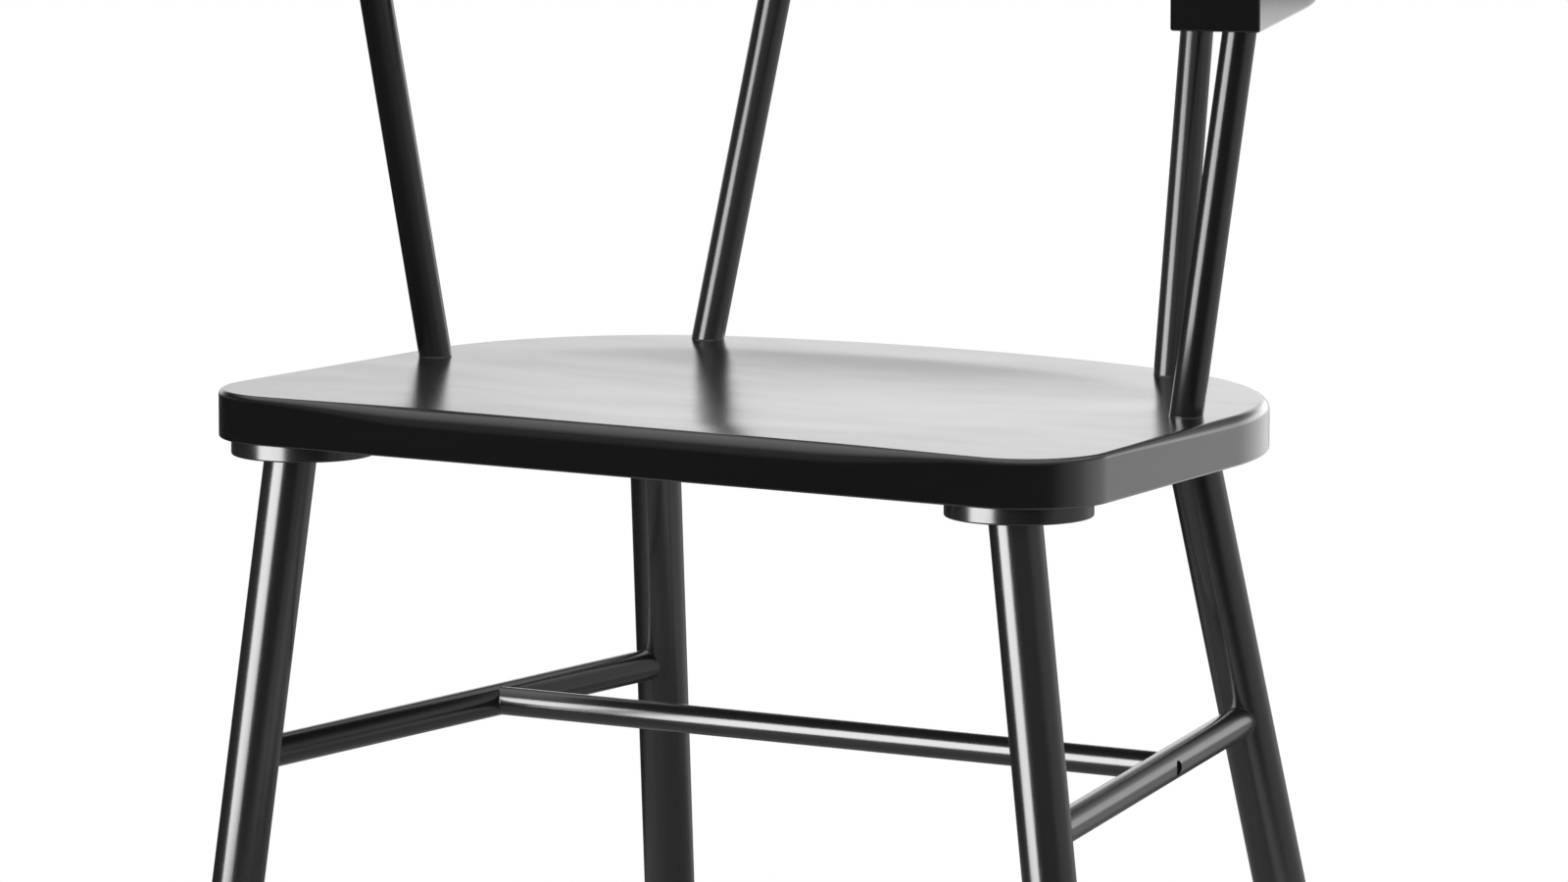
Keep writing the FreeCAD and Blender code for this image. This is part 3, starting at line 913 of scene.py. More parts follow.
@dataclass
class Seat(Assembly):
    """Seat board with its dish, the round pads under it and the pads' screws."""

    plan: SeatPlan
    rim: float = 0.450
    thickness: float = 0.027
    top_round: float = 0.006
    round_steps: int = 12
    corner_round: float = 0.0033
    front_round: float = 0.0100
    front_round_ends: tuple[float, float] = (0.120, 0.240)
    side_round_start: float = 0.150
    under_round: float = 0.0015
    dish_depth: float = 0.0040
    dish_width: float = 0.410
    dish_from_front: float = 0.228
    dish_front_reach: float = 0.198
    dish_rear_reach: float = 0.102
    dish_blend: float = 0.0006
    under_rings: tuple[float, ...] = (0.02, 0.5, 0.9)
    top_rings: int = 70
    innermost: float = 0.005
    pad_rings: tuple[float, ...] = (0.3, 0.9)
    pad_ease: float = 0.001
    pad_screw_head: float = 0.007
    pad_screw_shank: float = 0.0035

    @property
    def underside(self) -> float:
        """Height of the board's underside."""
        return self.rim - self.thickness

    def dish(self, x: float, y: float) -> float:
        """Measure the dish at a point of the plan.

        Args:
            x: Distance to the left of the middle.
            y: Distance from the front edge.

        Returns:
            How far the seat sinks below the rim there.
        """
        across = 2 * x / self.dish_width
        behind = y - self.dish_from_front
        along = behind / (self.dish_rear_reach if behind > 0 else self.dish_front_reach)
        sunk = self.dish_depth * (1 - across ** 2 - along ** 2)
        return (sunk + math.sqrt(sunk ** 2 + self.dish_blend ** 2)) / 2

    def round_at(self, point: Vector) -> float:
        """Find the top edge's round, fullest in the middle of the front and least at its corners.

        Args:
            point: Point of the plan's outline.

        Returns:
            The radius of the round there.
        """
        if point.y < self.plan.front_corner / 2 and abs(point.x) < self.front_round_ends[1]:
            start, stop = self.front_round_ends
            out = clamped((abs(point.x) - start) / (stop - start))
            return self.front_round + (self.corner_round - self.front_round) * smooth(out)
        back = clamped((point.y - self.plan.front_corner) / self.side_round_start)
        return self.corner_round + (self.top_round - self.corner_round) * smooth(back)

    def board_rings(self) -> Rings:
        """Draw the board, from its underside's middle round the edge to the middle of the dish.

        Returns:
            Rings in order.
        """
        outline = self.plan.outline()
        middle = Vector((0.0, self.dish_from_front))

        def drawn_in(inset: float, z: float) -> Ring:
            """Return the outline drawn in by an inset, at a height."""
            points = [point - normal * inset for point, normal in outline]
            return [self.plan.place(p.x, p.y, z) for p in points]

        def rolled(inward: float, down: float) -> Ring:
            """Draw a line of the top edge's round.

            Args:
                inward: Distance in from the outline, as a share of the round.
                down: Distance below the rim, as a share of the round.

            Returns:
                Points round the board.
            """
            ring = []
            for point, normal in outline:
                size = self.round_at(point)
                p = point - normal * size * inward
                ring.append(self.plan.place(p.x, p.y, self.rim - size * down))
            return ring

        def shrunk(share: float) -> Ring:
            """Draw the top face's outline, shrunk towards the middle of the dish.

            Args:
                share: 1 at the edge's round, 0 in the middle.

            Returns:
                Points round the board, sunk by the dish.
            """
            ring = []
            for point, normal in outline:
                p = middle.lerp(point - normal * self.round_at(point), share)
                ring.append(self.plan.place(p.x, p.y, self.rim - self.dish(p.x, p.y)))
            return ring

        rings = [[self.plan.place(*middle.lerp(point, share), self.underside)
                  for point, _ in outline] for share in self.under_rings]
        rings += [drawn_in(inward, self.underside + up) for up, inward in eased(self.under_round)]
        rings += [rolled(*shares) for shares in eased(1.0, self.round_steps)[:-1]]
        rings += [shrunk(1 - (1 - self.innermost) * i / self.top_rings)
                  for i in range(self.top_rings + 1)]
        return rings

    def build(self) -> None:
        """Build the board, its pads and their screws."""
        local = frame_along(self.plan.place(0.0, self.dish_from_front, self.rim), SIDEWAYS)
        self.add("seat_board", [self.board_rings()], local, LACQUER)
        screws = screws_upward("pad_screws", self.pad_screw_shank, self.pad_screw_head)
        for corner in CORNERS:
            self.build_pad(corner.node("pad"), screws)
        local = Matrix.Translation(self.plan.place(0.0, 0.0, self.underside))
        self.add("pad_screws", [screw.rings() for screw in screws], local, ZINC)

    def build_pad(self, node: str, screws: Sequence[Screw]) -> None:
        """Build one round pad, eased at its lower edge and bored for its screws.

        Args:
            node: Name of the pad's node.
            screws: Screws of all the pads.
        """
        low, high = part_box(node)
        centre = middle_of(low, high, low.z)
        radius, thickness = (high.x - low.x) / 2, high.z - low.z
        upright = Matrix.Translation(centre)
        profile = [(radius * share, 0.0) for share in self.pad_rings]
        profile += [(radius - inward, up) for up, inward in eased(self.pad_ease)]
        profile += [(radius, thickness - self.pad_ease), (radius, thickness)]
        rings = [circle(upright, *point) for point in profile]
        mouths = [screw.mouth() for screw in screws if (screw.head_centre - centre).length < radius]
        self.add(node, [rings], frame_along(centre, SIDEWAYS), LACQUER, mouths)


@dataclass
class Underframe(Assembly):
    """Legs, their glides, and the H of stretchers."""

    seat: Seat
    leg_radius: float = 0.0145
    leg_socket: float = 0.017
    front_from_side: float = 0.049
    front_from_front: float = 0.035
    front_splay: float = 7.5
    front_rake: float = -1.9
    rear_from_side: float = 0.0874
    rear_from_back: float = 0.0625
    rear_splay: float = 6.0
    rear_rake: float = 12.7
    pad_thickness: float = 0.009
    glide_height: float = 0.005
    side_radius: float = 0.009
    side_front_height: float = 0.2445
    side_rear_height: float = 0.2575
    cross_radius: float = 0.008
    cross_from_front_leg: float = 0.192
    end_in_leg: float = 0.004
    screw_length: float = 0.034
    screw_shank: float = 0.0035
    screw_head: float = 0.008
    screw_recess: float = 0.0020
    glide_profile: tuple[tuple[float, float], ...] = (
        (0.30, 0.0), (0.82, 0.0), (0.93, 0.0002), (0.98, 0.0006), (1.0, 0.0013), (1.0, 0.0036),
        (0.985, 0.0041), (0.94, 0.0043), (0.93, 0.0050), (0.12, 0.0050))
    nail_profile: tuple[tuple[float, float], ...] = ((0.12, 0.002), (0.02, 0.0))

    def leg_line(self, corner: Corner) -> tuple[Vector, Vector]:
        """Find a leg's axis.

        Args:
            corner: Where the leg stands.

        Returns:
            The axis's point on the seat's underside and its downward direction.
        """
        plan = self.seat.plan
        if corner.end is End.FRONT:
            y, inside = self.front_from_front, self.front_from_side
            splay, rake = self.front_splay, self.front_rake
        else:
            y, inside = plan.depth - self.rear_from_back, self.rear_from_side
            splay, rake = self.rear_splay, self.rear_rake
        point = plan.place(plan.side_x(y) - inside, y, self.seat.underside)
        return corner.axis(point, splay, rake, -1.0)

    def at_height(self, corner: Corner, height: float) -> Vector:
        """Return the point of a leg's axis at a height."""
        point, slope = self.leg_line(corner)
        return point + slope * LevelFace(height).distance(point, slope)

    def side_axis(self, hand: Hand) -> tuple[Vector, Vector]:
        """Return where a side stretcher's axis meets the axes of its legs."""
        return (self.at_height(Corner(End.FRONT, hand), self.side_front_height),
                self.at_height(Corner(End.REAR, hand), self.side_rear_height))

    def cross_end(self, hand: Hand) -> Vector:
        """Return where the cross stretcher's axis meets a side stretcher's axis."""
        front, rear = self.side_axis(hand)
        return front.lerp(rear, self.cross_from_front_leg / (rear.y - front.y))

    def build(self) -> None:
        """Build the legs, glides, stretchers and their screws."""
        for corner in CORNERS:
            self.build_leg(corner)
            self.build_glide(corner.node("glide"))
        for hand in Hand:
            self.build_side_stretcher(hand)
        self.build_cross_stretcher()
        stacks = [self.screw(hand).rings() for hand in Hand]
        self.add("stretcher_screws", stacks, Matrix.Translation(self.cross_end(Hand.LEFT)), ZINC)

    def build_leg(self, corner: Corner) -> None:
        """Build one leg from its socket in the seat, beaded under its pad and eased at its foot.

        Args:
            corner: Where the leg stands.
        """
        point, slope = self.leg_line(corner)
        foot = self.at_height(corner, self.glide_height)
        rod = Rod(point - slope * self.leg_socket, foot, self.leg_radius)
        rings = [rod.ring(SquareFace(0.0))]
        rings += rod.beaded(LevelFace(self.seat.underside - self.pad_thickness), 1)
        rings += rod.eased_end(LevelFace(self.glide_height))
        self.add(corner.node("leg"), [rings], rod.local, LACQUER)

    def build_glide(self, node: str) -> None:
        """Build one glide: a flat foot with a rounded rim and a small step, and its nail.

        Args:
            node: Name of the glide's node.
        """
        low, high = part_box(node)
        radius = (high.x - low.x) / 2
        local = Matrix.Translation(middle_of(low, high, 0.0))
        rings = [circle(local, radius * share, height) for share, height in self.glide_profile]
        rings += [circle(local, radius * share, high.z - below)
                  for share, below in self.nail_profile]
        self.add(node, [rings], local, NYLON)

    def screw(self, hand: Hand) -> Screw:
        """Place the screw through a side stretcher into the cross stretcher.

        Args:
            hand: Side of the stretcher.

        Returns:
            The screw.
        """
        outward = SIDEWAYS * hand.value
        head = self.cross_end(hand) + outward * (self.side_radius - self.screw_recess)
        return Screw(head, -outward, self.screw_length, self.screw_shank, self.screw_head)

    def build_side_stretcher(self, hand: Hand) -> None:
        """Build one side stretcher, beaded at its legs and bored for its screw.

        Args:
            hand: Left or right stretcher.
        """
        rod = Rod(*self.side_axis(hand), self.side_radius)
        front = RoundFace(*self.leg_line(Corner(End.FRONT, hand)), self.leg_radius, far=True)
        rear = RoundFace(*self.leg_line(Corner(End.REAR, hand)), self.leg_radius)
        rings = rod.between(front, rear, self.end_in_leg)
        mouth = self.screw(hand).mouth()
        self.add(f"{hand.word}_side_stretcher", [rings], rod.local, LACQUER, [mouth])

    def build_cross_stretcher(self) -> None:
        """Build the cross stretcher, beaded at both side stretchers."""
        rod = Rod(self.cross_end(Hand.RIGHT), self.cross_end(Hand.LEFT), self.cross_radius)
        faces = []
        for hand in (Hand.RIGHT, Hand.LEFT):
            front, rear = self.side_axis(hand)
            faces.append(RoundFace(front, rear - front, self.side_radius, far=hand is Hand.RIGHT))
        self.add("cross_stretcher", [rod.between(*faces, self.end_in_leg)], rod.local, LACQUER)


@dataclass
class Posts(Assembly):
    """The four plain posts between the seat and the bow."""

    seat: Seat
    radius: float = 0.00925
    in_seat: float = 0.017
    in_bow: float = 0.015
    bow_clearance: float = 0.2185
    front_from_side: float = 0.0267
    front_from_front: float = 0.1985
    front_lean: tuple[float, float] = (9.6, -2.1)
    rear_from_side: float = 0.1075
    rear_from_back: float = 0.0205
    rear_lean: tuple[float, float] = (-3.8, 15.2)

    @property
    def bow_underside(self) -> float:
        """Height of the bow's underside."""
        return self.seat.rim + self.bow_clearance

    def line(self, corner: Corner) -> tuple[Vector, Vector]:
        """Find a post's axis.

        Args:
            corner: Where the post stands.

        Returns:
            The axis's point on the seat's rim and its upward direction.
        """
        plan = self.seat.plan
        if corner.end is End.FRONT:
            y, lean = self.front_from_front, self.front_lean
            x = plan.side_x(y) - self.front_from_side
        else:
            x, lean = plan.side_x(plan.depth) - self.rear_from_side, self.rear_lean
            y = plan.back_y(x) - self.rear_from_back
        return corner.axis(plan.place(x, y, self.seat.rim), *lean, 1.0)

    def top(self, corner: Corner) -> Vector:
        """Return the point of a post's axis at the bow's underside."""
        point, slope = self.line(corner)
        return point + slope * LevelFace(self.bow_underside).distance(point, slope)

    def build(self) -> None:
        """Build the posts, beaded at the seat and at the bow."""
        for corner in CORNERS:
            point, slope = self.line(corner)
            start, end = point - slope * self.in_seat, self.top(corner) + slope * self.in_bow
            rod = Rod(start, end, self.radius)
            length = (end - start).length
            rings = [rod.ring(SquareFace(0.0))] + rod.beaded(LevelFace(self.seat.rim), 1)
            rings += rod.beaded(LevelFace(self.bow_underside), -1) + [rod.ring(SquareFace(length))]
            self.add(corner.node("post"), [rings], rod.local, LACQUER)


@dataclass
class Bow(Assembly):
    """Arms, back rail and crest, with the dowels and screws that join them."""

    posts: Posts
    width: float = 0.0485
    thickness: float = 0.027
    edge: float = 0.0015
    joint_edge: float = 0.0003
    least_edge: float = 0.0001
    flare: float = math.radians(18.0)
    overhang: float = 0.074
    joint_past_post: float = 0.096
    crest_height: float = 0.072
    crest_end_height: float = 0.006
    crest_base: float = 0.034
    crest_top: float = 0.020
    crest_lean: float = math.radians(11.0)
    crest_crown: float = 0.36
    crest_crown_limit: float = 0.008
    crest_fullness: float = 1.5
    crest_lap: float = 0.026
    crest_end_ease: float = 0.0025
    crest_foot_ease: float = 0.0005
    crest_side_steps: int = 8
    crest_crown_steps: int = 24
    screw_shank: float = 0.0045
    screw_head: float = 0.009
    station: float = 0.005
    radius: float = field(init=False)
    centre: Vector = field(init=False)
    bottom: float = field(init=False)
    joint: float = field(init=False)
    crest_end: float = field(init=False)
    bend: float = field(init=False)
    ahead: Vector = field(init=False)
    straight: float = field(init=False)

    def __post_init__(self) -> None:
        """Find the arc that runs through the rear posts and is tangent to the arms."""
        front = self.posts.top(Corner(End.FRONT, Hand.LEFT))
        rear = self.posts.top(Corner(End.REAR, Hand.LEFT))
        sine, cosine = math.sin(self.flare), math.cos(self.flare)
        reach = front.x * cosine + front.y * sine
        b = reach * sine - rear.y
        c = rear.x ** 2 + rear.y ** 2 - reach ** 2
        centre_y = (-b - math.sqrt(b ** 2 - cosine ** 2 * c)) / cosine ** 2
        self.radius = reach - centre_y * sine
        self.centre = Vector((0.0, centre_y, 0.0))
        self.bottom = self.posts.bow_underside
        self.joint = math.atan2(rear.x, rear.y - centre_y) + self.joint_past_post / self.radius
        self.crest_end = self.joint + self.crest_lap / self.radius
        self.bend = math.pi / 2 - self.flare
        self.ahead = Vector((sine, -cosine, 0.0))
        self.straight = (front - self.on_arc(self.bend)[0]).dot(self.ahead) + self.overhang

    def on_arc(self, angle: float) -> tuple[Vector, Vector]:
        """Return the bow's middle at an angle left of the back, and the way outward there."""
        outward = Vector((math.sin(angle), math.cos(angle), 0.0))
        return self.centre + outward * self.radius + UP * self.bottom, outward

    def on_arm(self, distance: float) -> tuple[Vector, Vector]:
        """Find a place on the left arm.

        Args:
            distance: Distance along the arm from its front end.

        Returns:
            A point of the arm's centre line and the outward direction there.
        """
        if distance > self.straight:
            return self.on_arc(self.bend - (distance - self.straight) / self.radius)
        point, outward = self.on_arc(self.bend)
        return point + self.ahead * (self.straight - distance), outward

    def section(self, inset: float) -> Pairs:
        """Draw the bow's section.

        Args:
            inset: How far the section is drawn in.

        Returns:
            Points as distances outward and upward.
        """
        radius = max(self.edge - inset, self.least_edge)
        half, low, high = self.width / 2 - inset, inset, self.thickness - inset
        corners = ((half - radius, low + radius, -90), (half - radius, high - radius, 0),
                   (-half + radius, high - radius, 90), (-half + radius, low + radius, 180))
        points = []
        for across, up, first in corners:
            for i in range(EASE_STEPS + 1):
                turn = math.radians(first + 90 * i / EASE_STEPS)
                points.append((across + radius * math.cos(turn), up + radius * math.sin(turn)))
        return points

    def stations(self, length: float, first_ease: float, last_ease: float) -> Pairs:
        """Mark out a segment.

        Args:
            length: Length of the segment.
            first_ease: Ease of the edges at the start.
            last_ease: Ease of the edges at the end.

        Returns:
            Distances along the segment, each with the inset of the section there.
        """
        finish = [(length - along, inset) for along, inset in eased(last_ease)]
        count = max(2, round(length / self.station))
        between = [(length * i / count, 0.0) for i in range(1, count)]
        return eased(first_ease) + between + finish[::-1]

    def swept(self, way: Sequence[tuple[Vector, Vector]], insets: Sequence[float]) -> Rings:
        """Return the bow's section at points with outward ways, drawn in by an inset at each."""
        return [[point + outward * across + UP * up for across, up in self.section(inset)]
                for (point, outward), inset in zip(way, insets)]

    def build(self) -> None:
        """Build the arms, rail, crest and screws; the hidden dowels stay as they are."""
        for hand in Hand:
            self.build_arm(hand)
        screws = screws_upward("crest_screws", self.screw_shank, self.screw_head)
        middle = self.on_arc(0.0)[0]
        local = frame_along(middle, SIDEWAYS)
        self.build_rail(local, screws)
        self.build_crest(local)
        stacks = [screw.rings() for screw in screws]
        self.add("crest_screws", stacks, Matrix.Translation(middle), ZINC)
        self.keep("bow_dowels", BEECH)

    def build_arm(self, hand: Hand) -> None:
        """Build one arm, eased at its square front end.

        Args:
            hand: Left or right arm.
        """
        length = self.straight + (self.bend - self.joint) * self.radius
        marks = self.stations(length, self.edge, self.joint_edge)
        way = [self.on_arm(distance) for distance, _ in marks]
        left = self.swept(way, [inset for _, inset in marks])
        rings = [[p * hand.flip for p in ring] for ring in left]
        local = frame_along(self.on_arm(0.0)[0] * hand.flip, self.ahead * hand.flip)
        self.add(f"{hand.word}_arm", [rings], local, LACQUER)

    def build_rail(self, local: Matrix, screws: Sequence[Screw]) -> None:
        """Build the back rail between the arms, bored from below for the crest's screws.

        Args:
            local: The rail's frame.
            screws: Screws that hold the crest.
        """
        length = 2 * self.joint * self.radius
        marks = self.stations(length, self.joint_edge, self.joint_edge)
        way = [self.on_arc(distance / self.radius - self.joint) for distance, _ in marks]
        rings = self.swept(way, [inset for _, inset in marks])
        self.add("back_rail", [rings], local, LACQUER, [screw.mouth() for screw in screws])

    def crest_ring(self, angle: float, inset: float) -> Ring:
        """Draw the crest's section: leaning sides under a rounded top.

        Args:
            angle: Angle on the bow.
            inset: How far the section is drawn in, at the eased ends.

        Returns:
            Points round the crest.
        """
        outness = min(abs(angle / self.crest_end), 1.0) ** self.crest_fullness
        share = math.cos(math.pi / 2 * outness) ** 2
        height = self.crest_end_height + (self.crest_height - self.crest_end_height) * share - inset
        crown = min(height * self.crest_crown, self.crest_crown_limit)
        shoulder = height - crown
        leaned = shoulder * math.tan(self.crest_lean)
        narrowing = (self.crest_base - self.crest_top) / 2 * shoulder / self.crest_height
        foot = self.crest_base / 2 - inset
        chord = foot - narrowing
        radius = (chord ** 2 + crown ** 2) / (2 * crown)
        sweep = math.atan2(chord, radius - crown)
        ease = self.crest_foot_ease
        shares = [i / self.crest_side_steps for i in range(1, self.crest_side_steps)]
        points = [(foot, ease), (foot - ease, 0.0), (-foot + ease, 0.0), (-foot, ease)]
        points += [((leaned + narrowing) * share - foot, shoulder * share) for share in shares]
        for i in range(self.crest_crown_steps + 1):
            turn = sweep * (2 * i / self.crest_crown_steps - 1)
            down = radius * (1 - math.cos(turn))
            points.append((leaned + radius * math.sin(turn), height - down))
        shares.reverse()
        points += [((leaned - narrowing) * share + foot, shoulder * share) for share in shares]
        centre, outward = self.on_arc(angle)
        return [centre + outward * across + UP * (self.thickness + up) for across, up in points]

    def build_crest(self, local: Matrix) -> None:
        """Build the crest, highest in the middle and swept down over the joints.

        Args:
            local: The crest's frame.
        """
        length = 2 * self.crest_end * self.radius
        marks = self.stations(length, self.crest_end_ease, self.crest_end_ease)
        rings = [self.crest_ring(distance / self.radius - self.crest_end, inset)
                 for distance, inset in marks]
        self.add("back_crest", [rings], local, LACQUER)


@dataclass
class Studio:
    """Pale floor, soft light and the camera."""

    azimuth: float = math.radians(31.45)
    elevation: float = math.radians(8.12)
    distance: float = 5.86235
    target: Vector = field(default_factory=lambda: Vector((0.0, -0.0682, 0.400)))
    focal_pixels: float = 10858.61
    principal: tuple[float, float] = (785.66, 492.2)
    image: tuple[int, int] = (1600, 900)
    floor_tone: float = 0.78
    # painted shade: the floor's tone in reflections, darker than to the eye and lighter towards +x
    floor_in_gloss: Ramp = ((0.25, 0.20), (0.45, 0.55))
    floor_radius: float = 0.95
    floor_fade_from: float = 0.475
    floor_sides: int = 128
    ambient: float = 0.85
    softbox_bearing: float = math.radians(-55.0)
    softbox_distance: float = 2.2
    softbox_width: float = 1.6
    softbox_height: float = 1.85
    softbox_centre_z: float = 0.77
    softbox_level: float = 7.2
    bow_pieces: tuple[str, ...] = (
        "left_arm.look", "right_arm.look", "back_rail.look", "back_crest.look")
    unlit_by_softbox: tuple[str, ...] = ("seat_board.look", "front_right_post.look", *bow_pieces)
    post_softbox_level: float = 4.4
    softly_lit_posts: tuple[str, ...] = (
        "front_left_post.look", "rear_left_post.look", "rear_right_post.look")
    backdrop_bearing: float = math.radians(165.0)
    backdrop_level: Ramp = ((0.50, 0.15), (0.85, 1.14))
    backdrop_tilt_bearing: float = math.radians(90.0)
    backdrop_tilt: Ramp = ((-0.07, 0.82), (0.05, 1.0))
    backdrop_foot: Ramp = ((-0.05, 0.05), (0.03, 1.0))
    backdrop_head: Ramp = ((0.265, 1.0), (0.335, 0.08))
    fill_bearing: float = math.radians(100.0)
    fill_level: Ramp = ((0.25, 0.0), (0.85, 0.36))
    front_level: Ramp = ((0.0, 0.0), (0.6, 0.25))
    front_foot: Ramp = ((0.15, 0.0), (0.30, 1.0))
    overhead_level: Ramp = ((0.50, 0.0), (0.85, 0.8))
    card_from: tuple[float, float] = (1.2, -0.8)
    card_to: tuple[float, float] = (0.0, 0.72)
    card_low: float = 0.0
    card_high: float = 0.605
    card_steps: int = 24
    card_side_level: Ramp = ((-0.15, 0.0), (0.22, 0.43))
    card_back_level: Ramp = ((0.54, 0.0), (0.80, 0.56))
    lit_by_card: tuple[str, ...] = ("seat_board.look", *bow_pieces)

    def build(self) -> None:
        """Build the floor, the surroundings, the lights and the camera."""
        bpy.context.scene.view_settings.view_transform = "Standard"
        self.build_floor()
        self.build_surroundings()
        softbox = self.build_softbox("softbox", self.softbox_level)
        self.link_light(softbox, self.unlit_by_softbox + self.softly_lit_posts, Reach.ALL_BUT)
        softbox = self.build_softbox("post_softbox", self.post_softbox_level)
        self.link_light(softbox, self.softly_lit_posts, Reach.ONLY)
        self.build_card()
        self.build_camera()

    @property
    def towards_camera(self) -> Vector:
        """Unit vector from the target to the camera."""
        flat = math.cos(self.elevation)
        return Vector((math.sin(self.azimuth) * flat, -math.cos(self.azimuth) * flat,
                       math.sin(self.elevation)))

    def bearing(self, angle: float) -> Vector:
        """Return the level direction to the camera, turned by an angle to the picture's right."""
        turned = self.azimuth + angle
        return Vector((math.sin(turned), -math.cos(turned), 0.0))

    def build_floor(self) -> None:
        """Build the floor: pale under the chair, and fading out into the white surroundings; in
        reflections it carries a painted shade, darker than to the eye and lighter towards +x.
        """
        shape = bmesh.new()
        bmesh.ops.create_circle(shape, cap_ends=True, segments=self.floor_sides,
                                radius=self.floor_radius)
        floor = in_scene("floor", mesh_of(shape, "floor"))
        material, graph = new_material("pale_floor")
        place = graph.node("TexCoord").outputs["Object"]
        reach = graph.node("VectorMath", place, operation="LENGTH").outputs["Value"]
        rim = graph.ramp(reach, ((self.floor_fade_from, 0.0), (self.floor_radius, 1.0)))
        # painted shade: reflections see the floor darker, lightening towards +x
        painted_shade_in_gloss = graph.ramp(graph.node("SeparateXYZ", place).outputs["X"], self.floor_in_gloss)
        seen_in_gloss = graph.node("LightPath").outputs["Is Glossy Ray"]
        tone = graph.node("Mix", Factor=seen_in_gloss, A=self.floor_tone, B=painted_shade_in_gloss)
        ground = graph.node("BsdfDiffuse", Color=tone.outputs["Result"]).outputs[0]
        clear = graph.node("BsdfTransparent").outputs[0]
        graph.node("OutputMaterial", Surface=graph.node("MixShader", rim, ground, clear).outputs[0])
        floor.data.materials.append(material)

    def build_surroundings(self) -> None:
        """Build the white backdrop, and the dimmer studio that the lacquer reflects instead."""
        world = bpy.data.worlds.new("studio")
        world.use_nodes = True
        bpy.context.scene.world = world
        graph = Graph(world.node_tree)
        way = graph.node("TexCoord").outputs["Generated"]
        height = graph.node("SeparateXYZ", way).outputs["Z"]

        def towards(angle: float, level: Ramp) -> Socket:
            """Return a level that changes with the nearness to a bearing."""
            nearness = graph.node("VectorMath", way, self.bearing(angle), operation="DOT_PRODUCT")
            return graph.ramp(nearness.outputs["Value"], level)

        def white(strength: object) -> Socket:
            """Return white surroundings of a strength."""
            return graph.node("Background", Color=WHITE, Strength=strength).outputs[0]

        between = graph.math("MULTIPLY", graph.ramp(height, self.backdrop_foot),
                             graph.ramp(height, self.backdrop_head))
        tilted = graph.math("MULTIPLY", towards(self.backdrop_bearing, self.backdrop_level),
                            towards(self.backdrop_tilt_bearing, self.backdrop_tilt))
        backdrop = graph.math("MULTIPLY", tilted, between)
        front = graph.math("MULTIPLY", towards(0.0, self.front_level),
                           graph.ramp(height, self.front_foot))
        fill = towards(self.fill_bearing, self.fill_level)
        walls = graph.math("MAXIMUM", graph.math("MAXIMUM", backdrop, fill), front)
        reflected = graph.math("ADD", walls, graph.ramp(height, self.overhead_level))
        path = graph.node("LightPath")
        lit = graph.node("MixShader", path.outputs["Is Glossy Ray"], white(self.ambient),
                         white(reflected))
        seen = graph.math("MAXIMUM", path.outputs["Is Camera Ray"],
                          path.outputs["Is Transmission Ray"])
        shown = graph.node("MixShader", seen, lit.outputs[0], white(1.0))
        graph.node("OutputWorld", Surface=shown.outputs[0])

    def build_softbox(self, name: str, level: float) -> bpy.types.Object:
        """Build a tall softbox in front, to the left of the camera.

        Args:
            name: Name of the lamp.
            level: How bright its face is.

        Returns:
            The lamp.
        """
        lamp = bpy.data.lights.new(name, "AREA")
        lamp.shape = "RECTANGLE"
        lamp.size = self.softbox_width
        lamp.size_y = self.softbox_height
        lamp.energy = WATTS_FOR_LEVEL * level * self.softbox_width * self.softbox_height
        holder = in_scene(name, lamp)
        way = self.bearing(self.softbox_bearing)
        holder.location = way * self.softbox_distance + UP * self.softbox_centre_z
        holder.rotation_euler = (-way).to_track_quat("-Z", "Y").to_euler()
        holder.visible_camera = False
        return holder

    def link_light(self, light: bpy.types.Object, pieces: Sequence[str], reach: Reach) -> None:
        """Let a light reach only some pieces, or all but some.

        Args:
            light: The light.
            pieces: Names of the pieces.
            reach: Which of them it reaches.
        """
        receivers = bpy.data.collections.new(light.name + "_pieces")
        for piece in pieces:
            receivers.objects.link(bpy.data.objects[piece])
        for member in receivers.collection_objects:
            member.light_linking.link_state = reach.value
        light.light_linking.receiver_collection = receivers

    def build_card(self) -> None:
        """Build the low white card that curves round the chair's left side to its back."""
        (from_x, from_y), (to_x, to_y) = self.card_from, self.card_to
        shape = bmesh.new()
        rows = []
        for turn in quarter(self.card_steps):
            x = to_x + (from_x - to_x) * math.cos(turn)
            y = from_y + (to_y - from_y) * math.sin(turn)
            rows.append([shape.verts.new((x, y, z)) for z in (self.card_low, self.card_high)])
        for first, second in zip(rows, rows[1:]):
            shape.faces.new((first[0], second[0], second[1], first[1]))
        card = in_scene("white_card", mesh_of(shape, "white_card"))
        card.visible_camera = card.visible_diffuse = card.visible_shadow = False
        self.link_light(card, self.lit_by_card, Reach.ONLY)
        material, graph = new_material("white_card")
        back = graph.node("SeparateXYZ", graph.node("TexCoord").outputs["Object"]).outputs["Y"]
        level = graph.math("ADD", graph.ramp(back, self.card_side_level),
                           graph.ramp(back, self.card_back_level))
        glow = graph.node("Emission", Strength=level).outputs[0]
        clear = graph.node("BsdfTransparent").outputs[0]
        graph.node("OutputMaterial", Surface=graph.node("AddShader", glow, clear).outputs[0])
        card.data.materials.append(material)

    def build_camera(self) -> None:
        """Build the camera at the photograph's viewing angle."""
        camera = bpy.data.cameras.new("camera")
        camera.sensor_width = SENSOR_WIDTH
        camera.lens = self.focal_pixels * SENSOR_WIDTH / self.image[0]
        holder = in_scene("camera", camera)
        back = self.towards_camera
        right = self.bearing(math.pi / 2)
        up = back.cross(right)
        aside = (self.image[0] / 2 - self.principal[0]) / self.focal_pixels
        above = (self.principal[1] - self.image[1] / 2) / self.focal_pixels
        holder.location = self.target + back * self.distance
        ahead = right * aside + up * above - back
        holder.rotation_euler = ahead.to_track_quat("-Z", "Y").to_euler()
        bpy.context.scene.camera = holder


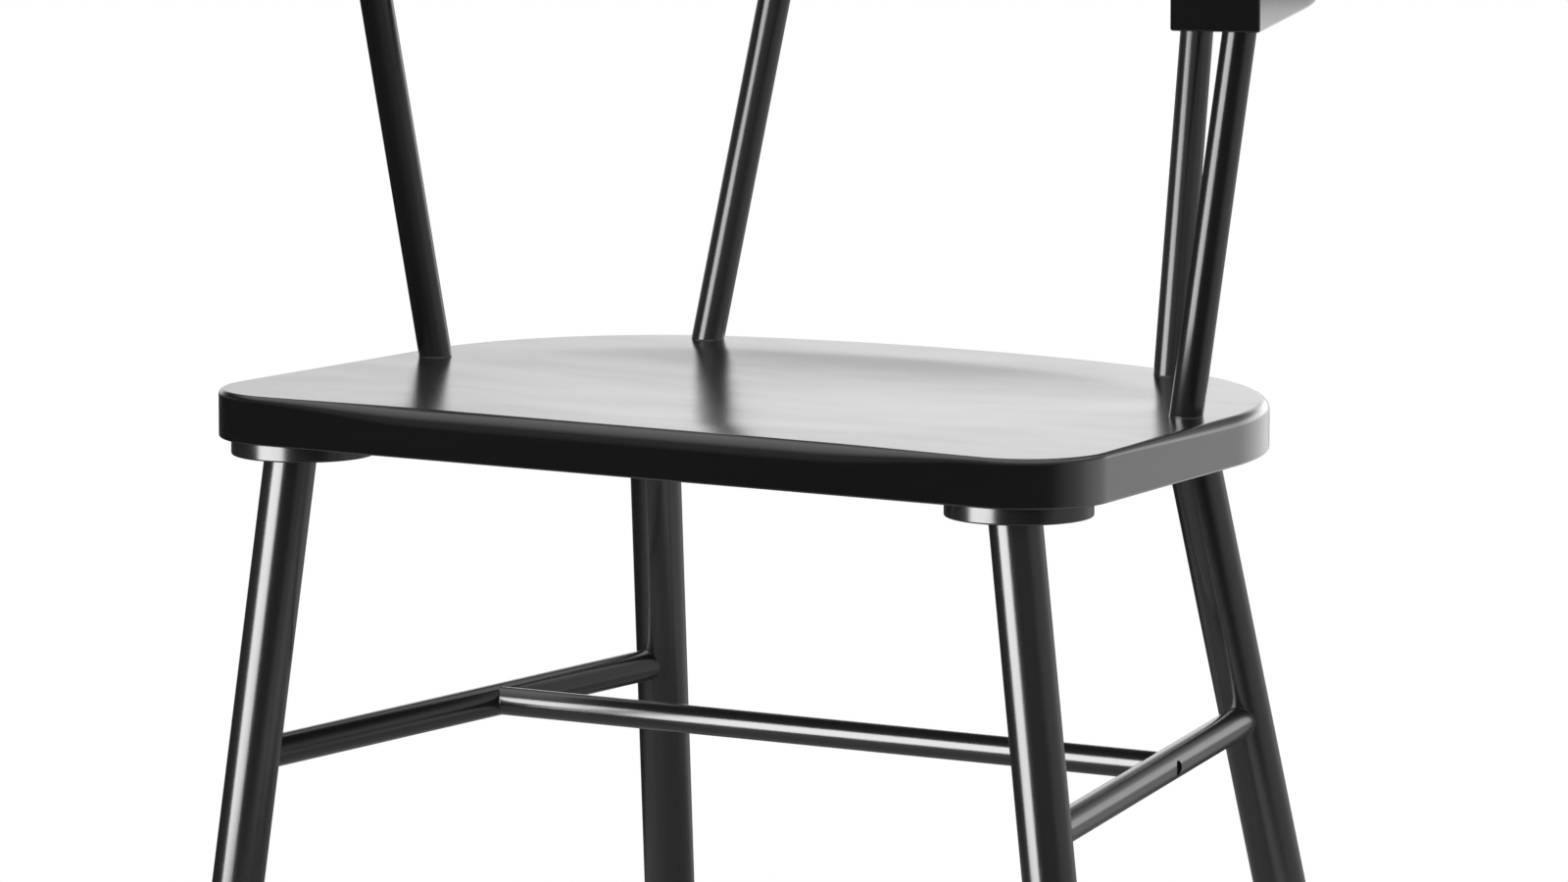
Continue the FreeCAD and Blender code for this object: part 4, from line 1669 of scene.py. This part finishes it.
def main() -> None:
    """Build the chair's looks and the studio round it."""
    logging.basicConfig(level=logging.INFO, format="%(message)s")
    seat = Seat(SeatPlan())
    posts = Posts(seat)
    for assembly in (seat, Underframe(seat), posts, Bow(posts)):
        assembly.build()
        assembly.dress()
        for piece, finish in assembly.pieces:
            LOG.info("%s: %d faces in %s", piece.name, len(piece.data.polygons), finish.slot.value)
    Studio().build()


if __name__ == "__main__":
    main()
